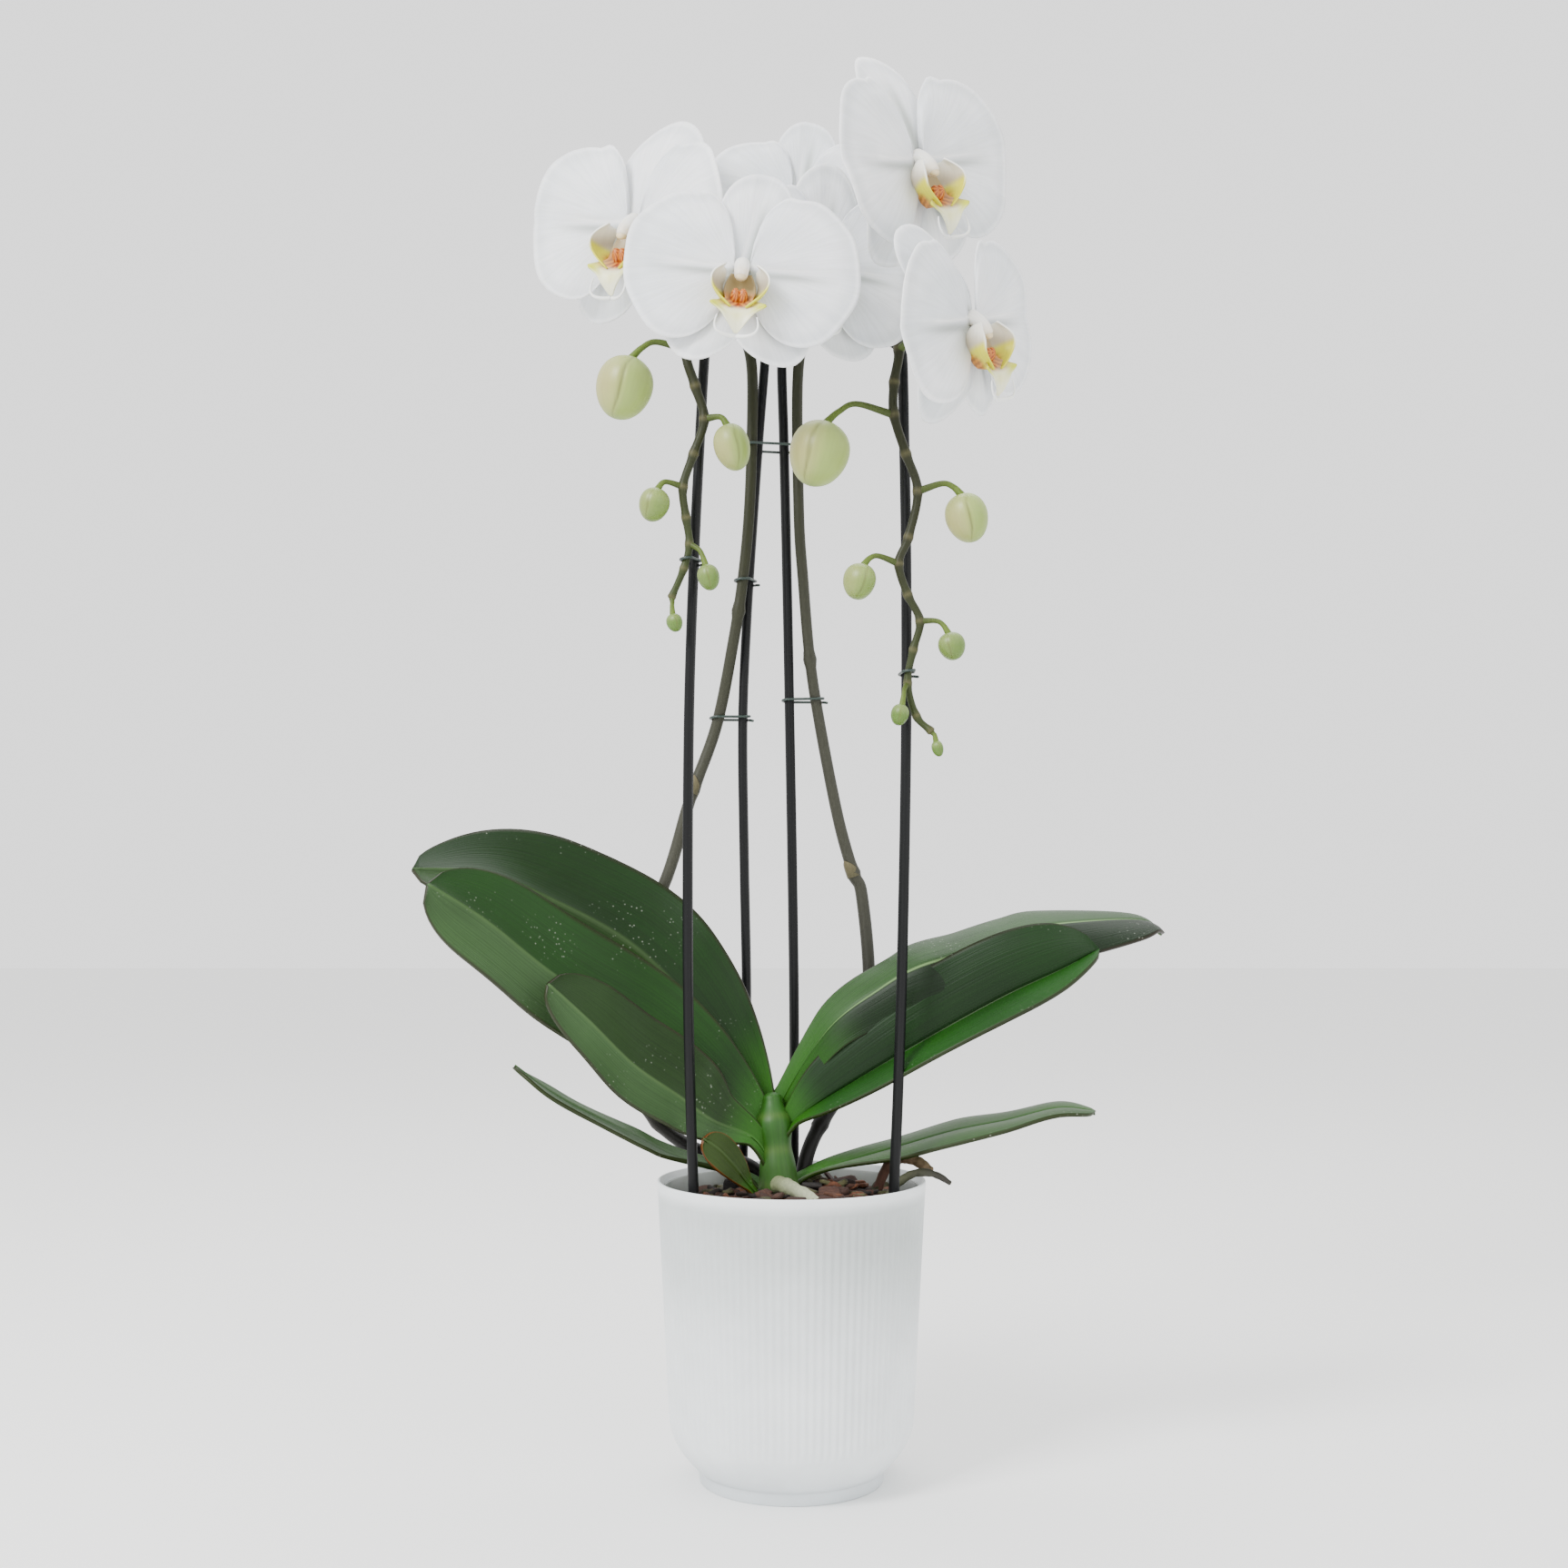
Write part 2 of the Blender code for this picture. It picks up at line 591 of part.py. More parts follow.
def build_clip(name, height, held):
    """A wire clip wound once round what it holds, its ends passing each other."""
    places = []
    for kind, side, leg in held:
        if kind == "stick":
            middle = leg_point(side, leg, height * MM)
            places.append((middle.x, middle.y, STICK_RADIUS))
        else:
            middle = spike_at(side, height, leg)
            places.append((middle[0], middle[1], middle[3]))
    loop = loop_round(places, CLIP_PLAY + CLIP_WIRE)
    rise = CLIP_WIRE * 3.2
    path = []
    for step, flat in enumerate(loop):
        level = BARK_TOP + height * MM + rise * (step / (len(loop) - 1) - 0.5)
        path.append((flat.x, flat.y, level, CLIP_WIRE))
    first = Vector(path[0][:3])
    path.insert(0, (first.x + 1.0 * MM, first.y - 3.0 * MM, first.z - 0.3 * MM, CLIP_WIRE))
    last = Vector(path[-1][:3])
    path.append((last.x - 0.5 * MM, last.y + 3.0 * MM, last.z + 0.3 * MM, CLIP_WIRE))
    return tube(name, path, MODEL, "clip_dark", 3)


# ---------------------------------------------------------------- plant

def crown_path():
    """The short stem that carries the leaves."""
    points = [(-6, -3, -14, 7.0), (-6, -4, 4, 9.0), (-6.5, -4, 20, 9.0),
              (-8, -2, 36, 8.5), (-9, 1, 50, 7.0), (-10, 3, 58, 4.0)]
    share = CROWN_RADIUS / (9.0 * MM)
    return [(*above_bark(x, y, z), radius * share * MM) for x, y, z, radius in points]


def root_path(name):
    """A root's path, smoothed."""
    out = RIM_RADIUS / MM if name in OVER_RIM else 0.0
    points = [(*above_bark(x + out, y, z), radius * MM) for x, y, z, radius in ROOTS[name]]
    return [tuple(point) for point in catmull(points, 2)]


def spike_path(side):
    """A spike from the crown, up behind the leaves, over its hoop and down in front."""
    plan = SPIKES[side]
    points = [above_bark(*point) for point in plan["free"]]
    for leg, height, x, y in plan["tied"]:
        points.append(leg_point(side, leg, height * MM) + mm(x, y, 0))
    for point, offset in zip(arch(side)[1::2], plan["over"]):
        points.append(point + mm(*offset))
    for leg, height, x, y in plan["front"]:
        points.append(leg_point(side, leg, height * MM) + mm(x, y, 0))
    start = len(plan["free"])
    count = len(points)
    front = count - len(plan["front"])
    run = []
    for index, point in enumerate(points):
        if index < start + 4:
            radius = SPIKE_RADIUS + (0.75 * SPIKE_RADIUS - SPIKE_RADIUS) * index / (start + 4)
        elif index < front:
            radius = 0.75 * SPIKE_RADIUS
        else:
            share = (index - front) / (count - 1 - front)
            radius = 0.62 * SPIKE_RADIUS * (1 - share) + SPIKE_TIP_RADIUS * share
        run.append((*point, radius))
    return [tuple(point) for point in catmull(run, 2)], points, front


def leaf_rows(plan):
    """Grid of a leaf's middle surface: its two halves slope off a smooth midrib."""
    midrib = catmull([above_bark(*point) for point in plan["midrib"]], 2)
    count = len(midrib)
    rows = []
    for index, point in enumerate(midrib):
        t = index / (count - 1)
        ahead = midrib[min(index + 1, count - 1)] - midrib[max(index - 1, 0)]
        along = ahead.normalized()
        back = along.cross(Vector((0, 0, 1))).normalized()
        if back.y < 0:
            back = -back
        lift = back.cross(along).normalized()
        if lift.z < 0:
            lift = -lift
        row = []
        for share in (1.0, 0.55, 0.0, -0.55, -1.0):
            half = plan["half"][0 if share >= 0 else 1] * MM * leaf_width(t)
            slope = blend(plan["far"] if share >= 0 else plan["near"], t)
            way = back * math.cos(slope) * (1 if share >= 0 else -1) + lift * math.sin(slope)
            row.append(point + way * half * abs(share))
        rows.append(row)
    return rows


def leaf_width(t):
    """Half width of a leaf along its length: narrow foot, broad middle, rounded tip."""
    foot = 0.26 + 0.74 * math.sin(math.pi / 2 * min(1.0, t / 0.55)) ** 1.1
    tip = math.sqrt(max(0.0, 1 - max(0.0, (t - 0.55) / 0.45) ** 2.4))
    return max(0.03, foot * tip)


def blend(values, t):
    """Values at the base, a third, two thirds and the tip, blended, degrees to radians."""
    place = min(t * 3, 2.999)
    low = int(place)
    share = place - low
    share = share * share * (3 - 2 * share)
    return math.radians(values[low] + (values[low + 1] - values[low]) * share)


def build_leaf(name, plan, crown_cutter):
    """One leaf, cut clear of the crown that it grows from."""
    leaf = sheet(name, leaf_rows(plan), LEAF_THICKNESS, MODEL, "leaf_green")
    combine(leaf, crown_cutter, "DIFFERENCE")
    keep_largest(leaf)
    return leaf


def keep_largest(obj):
    """Keeps the biggest connected piece of a mesh."""
    bm = bmesh.new()
    bm.from_mesh(obj.data)
    left = set(bm.verts)
    pieces = []
    while left:
        stack = [left.pop()]
        piece = set(stack)
        while stack:
            for edge in stack.pop().link_edges:
                for vertex in edge.verts:
                    if vertex not in piece:
                        piece.add(vertex)
                        left.discard(vertex)
                        stack.append(vertex)
        pieces.append(piece)
    pieces.sort(key=len)
    for piece in pieces[:-1]:
        bmesh.ops.delete(bm, geom=list(piece), context="VERTS")
    bm.to_mesh(obj.data)
    bm.free()


def joint_point(side, index):
    """The spike's point where a stalk leaves: 0 starts its front run, -1 is the arch before it."""
    return SPIKE_POINTS[side][FRONT_START[side] + index]


def bud_frame(name):
    """A bud's middle, its axis from stalk to tip, and the start of its stalk."""
    side, index, offset, width, length = BUDS[name]
    start = joint_point(side, index)
    middle = start + mm(*offset)
    sideways = 0.25 if offset[0] > 0 else -0.25
    axis = Vector((sideways, 0.0, -1.0)).normalized()
    return start, middle, axis, width * MM, length * MM


def build_bud(name):
    """A bud: an egg with its blunt end at the stalk."""
    start, middle, axis, width, length = bud_frame(name)
    bm = bmesh.new()
    bmesh.ops.create_uvsphere(bm, u_segments=10, v_segments=7, radius=0.5)
    for vertex in bm.verts:
        swell = 1.0 + 0.22 * vertex.co.z
        vertex.co.x *= width * swell
        vertex.co.y *= width * swell
        vertex.co.z *= length
    turn = Vector((0, 0, -1)).rotation_difference(axis).to_matrix().to_4x4()
    bmesh.ops.transform(bm, matrix=Matrix.Translation(middle) @ turn, verts=bm.verts)
    return object_from(name, bm, MODEL, "bud_green")


def bud_stalk(name):
    """The stalk from the spike over to the top of a bud."""
    start, middle, axis, width, length = bud_frame(name)
    top = middle - axis * (length / 2 + GAP + 0.3 * MM)
    over = start.lerp(top, 0.55) + Vector((0, 0, 0.22 * (top - start).length))
    thin = PEDICEL_RADIUS * (0.6 + 0.4 * min(1.0, length / (22 * MM)))
    near = top - axis * 1.5 * MM
    bend = [*over.lerp(near, 0.6)]
    return [(*start, thin), (*over, thin), (*bend[:2], bend[2] + 0.8 * MM, thin), (*top, thin)]


def flower_matrix(name):
    """Places a flower: +Z of its own frame is its facing, +Y its dorsal sepal."""
    side, where, middle, (yaw, pitch, roll), *rest = FLOWERS[name]
    base = Matrix(((1, 0, 0), (0, 0, -1), (0, 1, 0)))
    turn = Matrix.Rotation(math.radians(yaw), 3, "Z") @ Matrix.Rotation(math.radians(pitch), 3, "X")
    spin = Matrix.Rotation(math.radians(roll), 3, "Y")
    return Matrix.Translation(above_bark(*middle)) @ (turn @ spin @ base).to_4x4()


def cup_rise(across, cup):
    """How far forward the petals stand at a distance to the side of the middle."""
    return math.tan(math.radians(cup)) * (math.hypot(across, 5 * MM) - 5 * MM)


def whorl(name, lobes, setback, cup, reflex, place, scale, rays):
    """Petals or sepals joined at a hub: rays from the middle out to the lobes' edge."""
    rows = []
    for ring in (0.0, 0.36, 0.72, 1.0):
        row = []
        for ray in range(rays):
            turn = math.tau * (ray + 0.5) / rays
            reach = HUB_RADIUS
            for heading, length, width in lobes:
                off = math.atan2(math.sin(turn - heading), math.cos(turn - heading))
                if abs(off) < math.pi / 2:
                    a = length / 2
                    b = width / 2
                    side = (b * math.cos(off)) ** 2 + (a * math.sin(off)) ** 2
                    reach = max(reach, 2 * a * b * b * math.cos(off) / side)
            across = reach * scale * ring * math.cos(turn)
            upward = reach * scale * ring * math.sin(turn)
            spread = math.hypot(across, upward)
            forward = cup_rise(across, cup) - reflex * spread * spread - setback
            row.append(place @ Vector((across, upward, forward)))
        rows.append(row)
    return sheet(name, rows, PETAL_THICKNESS, MODEL, "petal_white", closed=True)


def build_flower(name):
    """One open flower: sepals behind, petals before them, then the column and the lip."""
    cup, reflex, scale = FLOWERS[name][4:7]
    place = flower_matrix(name)
    quarter = math.pi / 2
    sepals = [(quarter, SEPAL_LENGTH, SEPAL_WIDTH), (-quarter - SEPAL_SPREAD, SEPAL_LENGTH, SEPAL_WIDTH),
              (-quarter + SEPAL_SPREAD, SEPAL_LENGTH, SEPAL_WIDTH)]
    petals = [(0.0, PETAL_LENGTH, PETAL_WIDTH), (math.pi, PETAL_LENGTH, PETAL_WIDTH)]
    whorl(name + "_sepals", sepals, SEPAL_SETBACK, cup, reflex, place, scale, 30)
    whorl(name + "_petals", petals, 0.0, cup, PETAL_REFLEX, place, scale, 28)
    foot = PETAL_THICKNESS / 2 + GAP + 0.4 * MM
    column = [(0, 1.0 * MM, foot, COLUMN_RADIUS), (0, 0.8 * MM, foot + COLUMN_LENGTH / 2, COLUMN_RADIUS),
              (0, -0.6 * MM, foot + COLUMN_LENGTH, COLUMN_RADIUS * 0.9)]
    path = [(*(place @ Vector(point[:3])), point[3]) for point in column]
    tube(name + "_column", path, MODEL, "column_white", 3)
    build_lip(name + "_lip", place, cup)


def build_lip(name, place, cup):
    """The lip: side lobes that stand up beside the column and a tongue that hangs in front."""
    rows = []
    for step in range(6):
        q = step / 5
        row = []
        for count in range(8):
            turn = math.radians(110 * (2 * count / 7 - 1))
            down = max(0.0, math.cos(turn))
            wide = LIP_WIDTH / 2 * (0.42 + 0.58 * math.sin(math.pi * min(1.0, 0.12 + 0.78 * q)))
            across = wide * math.sin(turn) * (1 - 0.35 * q * q * down)
            drop = 4.6 + (6.5 + 5.0 * math.sin(math.pi * 0.6 * q)) * down + 12.0 * q * q * down ** 2
            upward = -drop * LIP_DROP / 29.0
            forward = (2.2 + 11.0 * q + 4.0 * q * down * (1 - q)) * MM
            forward += cup_rise(across, cup)
            row.append(place @ Vector((across, upward, forward)))
        rows.append(row)
    return sheet(name, rows, 1.2 * MM, MODEL, "lip_yellow")


def flower_stalk(name):
    """The stalk from the spike round to the back of a flower."""
    side, where = FLOWERS[name][:2]
    bow = FLOWERS[name][7]
    start = joint_point(side, where)
    place = flower_matrix(name)
    behind = place @ Vector((0, 0, -SEPAL_SETBACK - PETAL_THICKNESS / 2 - GAP - 0.6 * MM))
    back = place @ Vector((0, 0, -SEPAL_SETBACK - 9.0 * MM))
    half = start.lerp(back, 0.5) + Vector((0, 0, bow * MM))
    wide = PEDICEL_RADIUS * 1.15
    return [(*start, wide), (*half, wide), (*back, wide), (*behind, wide)]


def build_spike(side, crown_cutter):
    """A spike with the stalks of its buds and flowers grown on."""
    spike = tube("flower_spike_" + side, SPIKE_PATHS[side], MODEL, "stem_green", 3)
    stalks = [bud_stalk(name) for name in BUDS if BUDS[name][0] == side]
    stalks += [flower_stalk(name) for name in FLOWERS if FLOWERS[name][0] == side]
    for path in stalks:
        smooth = [tuple(point) for point in catmull(path, 2)]
        stalk = cutter_from("stalk", tube_mesh("stalk", smooth, 2))
        combine(spike, stalk, "UNION")
    combine(spike, crown_cutter, "DIFFERENCE")
    keep_largest(spike)
    return spike


# ---------------------------------------------------------------- build

clear_scene()
MODEL = new_collection("potted_orchid")
CUTTERS = new_collection("cutters", shown=False)

PATHS = {"crown_stem": crown_path()}
for root in ROOTS:
    PATHS[root] = root_path(root)
SPIKE_PATHS = {}
SPIKE_POINTS = {}
FRONT_START = {}
for spike_side in SPIKES:
    found = spike_path(spike_side)
    SPIKE_PATHS[spike_side], SPIKE_POINTS[spike_side], FRONT_START[spike_side] = found

build_cover_pot()
build_grower_pot()
build_bark("crown_stem", list(ROOTS))
tube("crown_stem", PATHS["crown_stem"], MODEL, "crown_green", 5)
CROWN_CUTTER = cutter_from("crown_cutter", tube_mesh("crown_cutter", swollen(PATHS["crown_stem"]), 5))
for root in ROOTS:
    made_root = tube(root, PATHS[root], MODEL, "root_grey_green", 3)
    combine(made_root, CROWN_CUTTER, "DIFFERENCE")
    keep_largest(made_root)
for leaf_name, leaf_plan in LEAVES.items():
    build_leaf(leaf_name, leaf_plan, CROWN_CUTTER)
for spike_side in SPIKES:
    build_spike(spike_side, CROWN_CUTTER)
    tube("support_hoop_" + spike_side, hoop_path(spike_side), MODEL, "stick_black", 3)
for clip_name, (clip_height, clip_held) in CLIPS.items():
    build_clip(clip_name, clip_height, clip_held)
for bud_name in BUDS:
    build_bud(bud_name)
for flower_name in FLOWERS:
    build_flower(flower_name)
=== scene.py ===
"""A white moth orchid in a frosted ribbed pot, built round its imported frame.

Two flower spikes climb behind the leaves, are tied to hoops of dark stick, and arch over to the
front with open flowers above and buds below. Tables of places are in millimetres, over the bark
where they say so. Everything else is in metres, +Z up, with the front towards -Y.
"""

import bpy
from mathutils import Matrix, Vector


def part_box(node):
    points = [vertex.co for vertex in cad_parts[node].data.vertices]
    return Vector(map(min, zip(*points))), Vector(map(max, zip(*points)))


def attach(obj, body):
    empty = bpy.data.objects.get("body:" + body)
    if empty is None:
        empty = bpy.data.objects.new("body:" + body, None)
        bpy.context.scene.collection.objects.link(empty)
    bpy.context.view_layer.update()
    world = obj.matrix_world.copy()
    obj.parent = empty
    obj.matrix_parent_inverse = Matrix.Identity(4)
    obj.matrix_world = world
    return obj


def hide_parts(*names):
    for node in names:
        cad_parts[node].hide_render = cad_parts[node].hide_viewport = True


bl_info = {
    "name": "Potted Moth Orchid",
    "version": (1, 0, 0),
    "blender": (4, 5, 0),
    "location": "3D View > Sidebar > Orchid",
    "description": "Builds a potted moth orchid round its packed frame",
    "category": "Object",
}

import math

import bmesh
import bpy
import numpy as np
from mathutils import Matrix, Vector

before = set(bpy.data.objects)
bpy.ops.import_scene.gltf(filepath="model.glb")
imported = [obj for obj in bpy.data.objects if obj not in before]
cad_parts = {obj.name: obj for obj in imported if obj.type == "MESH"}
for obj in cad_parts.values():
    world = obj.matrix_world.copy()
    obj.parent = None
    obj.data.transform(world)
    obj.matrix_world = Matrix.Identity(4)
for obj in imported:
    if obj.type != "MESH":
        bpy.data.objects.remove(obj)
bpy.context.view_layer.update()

MM = 0.001
TURN = 2 * np.pi
WELD = 0.002 * MM


# ------------------------------------------------------------------ sizes from the frame

POT_LOW, POT_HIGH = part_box("cover_pot")
GROWER_LOW, GROWER_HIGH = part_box("grower_pot")
RIM_RADIUS = POT_HIGH.x
POT_HEIGHT = POT_HIGH.z
BARK_TOP = POT_HEIGHT - 13 * MM
GROWER_RADIUS = GROWER_HIGH.x
GROWER_WALL = 0.8 * MM
GROWER_TAPER = 11.0 * MM
BARK_RADIUS = GROWER_RADIUS - GROWER_WALL - 1.14 * MM
BARK_TAPER = 9.3 * MM

# The cover pot: its plain foot, the round shoulder over it, its wall, the radius where the pitch
# of its ribs is measured, and the heights between which the ribs fade in and out.
FOOT_RADIUS = 42.5 * MM
FOOT_HEIGHT = 6.6 * MM
FOOT_LEDGE = 1.5 * MM
SHOULDER_RADIUS = 56.6 * MM
SHOULDER_HEIGHT = 30 * MM
POT_WALL = 1.5 * MM
POT_FLOOR = 5.4 * MM
RIM_ROUND = 0.8 * MM
RIB_RADIUS = 60 * MM
RIBS_FADE_IN = (22 * MM, 27 * MM)
RIBS_FADE_OUT = (125.5 * MM, 127.5 * MM)

# The sticks: the bare radius that the clips are wound to, and the radius with its coating.
STICK_RADIUS = 2.2 * MM
STICK_COATED = 2.48 * MM
HOOP_TOP = 425 * MM
LEAF_THICKNESS = 1.7 * MM


# ------------------------------------------------------------------ colours

def linear(code):
    """Linear red, green and blue of an sRGB hex code: each channel c becomes c / 12.92 when it
    is at most 0.04045, and otherwise ((c + 0.055) / 1.055) to the power 2.4."""
    values = np.array([int(code[at:at + 2], 16) for at in (1, 3, 5)]) / 255
    low = values / 12.92
    high = ((values + 0.055) / 1.055) ** 2.4
    return tuple(np.where(values <= 0.04045, low, high))


def shade(code):
    """A hex colour as a numpy row."""
    return np.array(linear(code))


def blend(first, second, share):
    """Row by row mix of two colours, or of two arrays of colours, by a share from 0 to 1."""
    share = np.clip(np.asarray(share, float), 0, 1)[..., None]
    return np.asarray(first) * (1 - share) + np.asarray(second) * share


def ease(low, high, value):
    """0 below low, 1 above high, and 3 t t - 2 t t t between, with t the share of the way."""
    t = np.clip((np.asarray(value, float) - low) / (high - low), 0, 1)
    return t * t * (3 - 2 * t)


# ------------------------------------------------------------------ surfaces as arrays

def unit(rows):
    """Rows scaled to length one."""
    return rows / np.maximum(np.linalg.norm(rows, axis=-1, keepdims=True), 1e-12)


def smooth_path(points, per_span):
    """Catmull-Rom curve: each span is a cubic in t through its two points, whose slopes there are
    half the way from the point before to the point after."""
    given = np.asarray(points, float)
    padded = np.vstack([2 * given[0] - given[1], given, 2 * given[-1] - given[-2]])
    t = (np.arange(per_span) / per_span)[None, :, None]
    a, b, c, d = padded[:-3, None], padded[1:-2, None], padded[2:-1, None], padded[3:, None]
    run = 0.5 * (2 * b + (c - a) * t + (2 * a - 5 * b + 4 * c - d) * t ** 2
                 + (3 * b - a - 3 * c + d) * t ** 3)
    return np.vstack([run.reshape(-1, given.shape[1]), given[-1:]])


def lumps(x, y, z, seed, octaves=3):
    """Smooth noise from -1 to 1: a sum of sines of turned coordinates, each octave twice as fine
    and half as strong as the last."""
    rng = np.random.default_rng(seed)
    total = np.zeros(np.broadcast(x, y, z).shape)
    for octave in range(octaves):
        for _ in range(3):
            way = unit(rng.normal(size=3)) * 2.0 ** octave
            phase = x * way[0] + y * way[1] + z * way[2] + rng.uniform(0, TURN)
            total = total + np.sin(phase) / 2 ** octave
    return total / 3


def patch(points, wrap=False, tint=None, uv=None, flip=False):
    """A grid of points (rows, columns, 3) as quads. With wrap the last column meets the first.
    A face goes first along its row and then down its column, so it looks the way of
    (step along the row) x (step down the column)."""
    rows, columns = points.shape[:2]
    wide = columns if wrap else columns - 1
    i, j = np.meshgrid(np.arange(rows - 1), np.arange(wide), indexing="ij")
    after = (j + 1) % columns
    quads = np.stack([i * columns + j, i * columns + after,
                      (i + 1) * columns + after, (i + 1) * columns + j], axis=-1).reshape(-1, 4)
    if uv is None:
        across = np.stack([j, j + 1, j + 1, j], axis=-1) / wide
        down = np.stack([i, i, i + 1, i + 1], axis=-1) / (rows - 1)
        corner_uv = np.stack([across, down], axis=-1).reshape(-1, 4, 2)
    else:
        corner_uv = uv.reshape(-1, 2)[quads]
    if flip:
        quads = quads[:, ::-1]
        corner_uv = corner_uv[:, ::-1]
    colour = np.ones(points.shape) if tint is None else np.broadcast_to(tint, points.shape)
    return {"points": points.reshape(-1, 3), "quads": quads, "uv": corner_uv,
            "tint": colour.reshape(-1, 3)}


def tube(path, radius, sides, tint=None, section=None):
    """Rings carried along a path: each ring is path + radius (cos a n + sin a b), where n is one
    fixed direction with its part along the path taken out, and b is square to both. A rounded
    cap closes each end: rings that shrink as cos q while they move out as sin q. Section(angle)
    gives the share of the radius round a ring that isn't a circle."""
    cap_rings, cap_height = 4, 0.6
    path = np.asarray(path, float)
    radius = np.broadcast_to(np.asarray(radius, float), len(path))
    if tint is not None:
        tint = np.broadcast_to(np.asarray(tint, float), path.shape)
        tint = np.vstack([np.repeat(tint[:1], cap_rings, 0), tint, np.repeat(tint[-1:], cap_rings, 0)])
    q = np.linspace(0, np.pi / 2, cap_rings + 1)[1:]
    start = unit(path[:1] - path[1:2])
    stop = unit(path[-1:] - path[-2:-1])
    head = path[0] + start * radius[0] * cap_height * np.sin(q[::-1, None])
    tail = path[-1] + stop * radius[-1] * cap_height * np.sin(q[:, None])
    path = np.vstack([head, path, tail])
    radius = np.concatenate([radius[0] * np.cos(q[::-1]), radius, radius[-1] * np.cos(q)])
    way = unit(np.gradient(path, axis=0))
    fixed = np.linalg.svd(way)[2][-1]
    n = unit(fixed - (way @ fixed)[:, None] * way)
    b = np.cross(way, n)
    a = np.arange(sides) / sides * TURN
    ring = np.ones(sides) if section is None else section(a)
    aside = (ring * np.cos(a))[None, :, None] * n[:, None]
    behind = (ring * np.sin(a))[None, :, None] * b[:, None]
    points = path[:, None] + radius[:, None, None] * (aside + behind)
    colour = None if tint is None else np.repeat(tint[:, None], sides, 1)
    return patch(points, wrap=True, tint=colour)


def turned(profile, sides, swell=None, tint=None):
    """A profile of (radius, height) rows turned round Z. Swell(angle) adds to the radius, by
    the share in the profile's third value."""
    profile = np.asarray(profile, float)
    a = np.arange(sides) / sides * TURN
    radius = profile[:, :1] + (0 if swell is None else profile[:, 2:3] * swell(a)[None])
    points = np.stack([radius * np.cos(a), radius * np.sin(a),
                       np.repeat(profile[:, 1:2], sides, 1)], axis=-1)
    return patch(points, wrap=True, tint=tint[:, None] if np.ndim(tint) == 2 else tint)


def new_mesh(name, patches):
    """One mesh from several patches, with their UVs and tints, and poles and seams welded."""
    offsets = np.cumsum([0] + [len(part["points"]) for part in patches])
    points = np.vstack([part["points"] for part in patches])
    quads = np.vstack([part["quads"] + at for part, at in zip(patches, offsets)])
    uv = np.vstack([part["uv"].reshape(-1, 2) for part in patches])
    tint = np.vstack([part["tint"] for part in patches])
    mesh = bpy.data.meshes.new(name)
    mesh.vertices.add(len(points))
    mesh.vertices.foreach_set("co", points.ravel())
    mesh.loops.add(quads.size)
    mesh.loops.foreach_set("vertex_index", quads.ravel())
    mesh.polygons.add(len(quads))
    mesh.polygons.foreach_set("loop_start", np.arange(len(quads)) * 4)
    mesh.update(calc_edges=True)
    mesh.uv_layers.new(name="UVMap").data.foreach_set("uv", uv.ravel())
    colours = mesh.color_attributes.new("tint", "FLOAT_COLOR", "POINT")
    colours.data.foreach_set("color", np.hstack([tint, np.ones((len(tint), 1))]).ravel())
    bm = bmesh.new()
    bm.from_mesh(mesh)
    bmesh.ops.remove_doubles(bm, verts=bm.verts, dist=WELD)
    bm.to_mesh(mesh)
    bm.free()
    mesh.polygons.foreach_set("use_smooth", np.ones(len(mesh.polygons), bool))
    mesh.update()
    return mesh


def piece(name, patches, surface, nodes, thickness=None):
    """A finished piece: its mesh at the origin, its material, and what it stands for."""
    obj = bpy.data.objects.new(name, new_mesh(name, patches))
    bpy.context.scene.collection.objects.link(obj)
    obj.data.materials.append(surface)
    if thickness:
        wall = obj.modifiers.new("thickness", "SOLIDIFY")
        wall.thickness = thickness
        wall.offset = 0.0
    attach(obj, "root")
    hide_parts(*nodes)
    return obj


# ------------------------------------------------------------------ materials

def add_node(tree, kind, settings=None, inputs=None):
    """Adds a node, sets its settings, and sets or links its inputs: an input's value may be a
    number, a colour, or another node's output socket."""
    made = tree.nodes.new(kind)
    for key, value in (settings or {}).items():
        setattr(made, key, value)
    for key, value in (inputs or {}).items():
        if isinstance(value, bpy.types.NodeSocket):
            tree.links.new(value, made.inputs[key])
        else:
            made.inputs[key].default_value = value
    return made


def new_surface(name, roughness, **extras):
    """A Principled material with its constant sockets set. Returns it, its tree and shader."""
    made = bpy.data.materials.new(name)
    made.use_nodes = True
    tree = made.node_tree
    shader = tree.nodes["Principled BSDF"]
    shader.inputs["Roughness"].default_value = roughness
    for key, value in extras.items():
        shader.inputs[key.replace("_", " ")].default_value = value
    return made, tree, shader


def ramp(tree, source, stops):
    """A colour ramp from (place, colour) stops."""
    made = add_node(tree, "ShaderNodeValToRGB", inputs={"Fac": source})
    elements = made.color_ramp.elements
    while len(elements) < len(stops):
        elements.new(0.5)
    for element, (place, colour) in zip(elements, stops):
        element.position = place
        element.color = (*colour, 1.0)
    return made.outputs["Color"]


def mixed(tree, kind, share, first, second):
    """Mixes two colours."""
    made = add_node(tree, "ShaderNodeMix", {"data_type": "RGBA", "blend_type": kind})
    for index, value in ((0, share), (6, first), (7, second)):
        if isinstance(value, bpy.types.NodeSocket):
            tree.links.new(value, made.inputs[index])
        else:
            made.inputs[index].default_value = value
    return made.outputs[2]


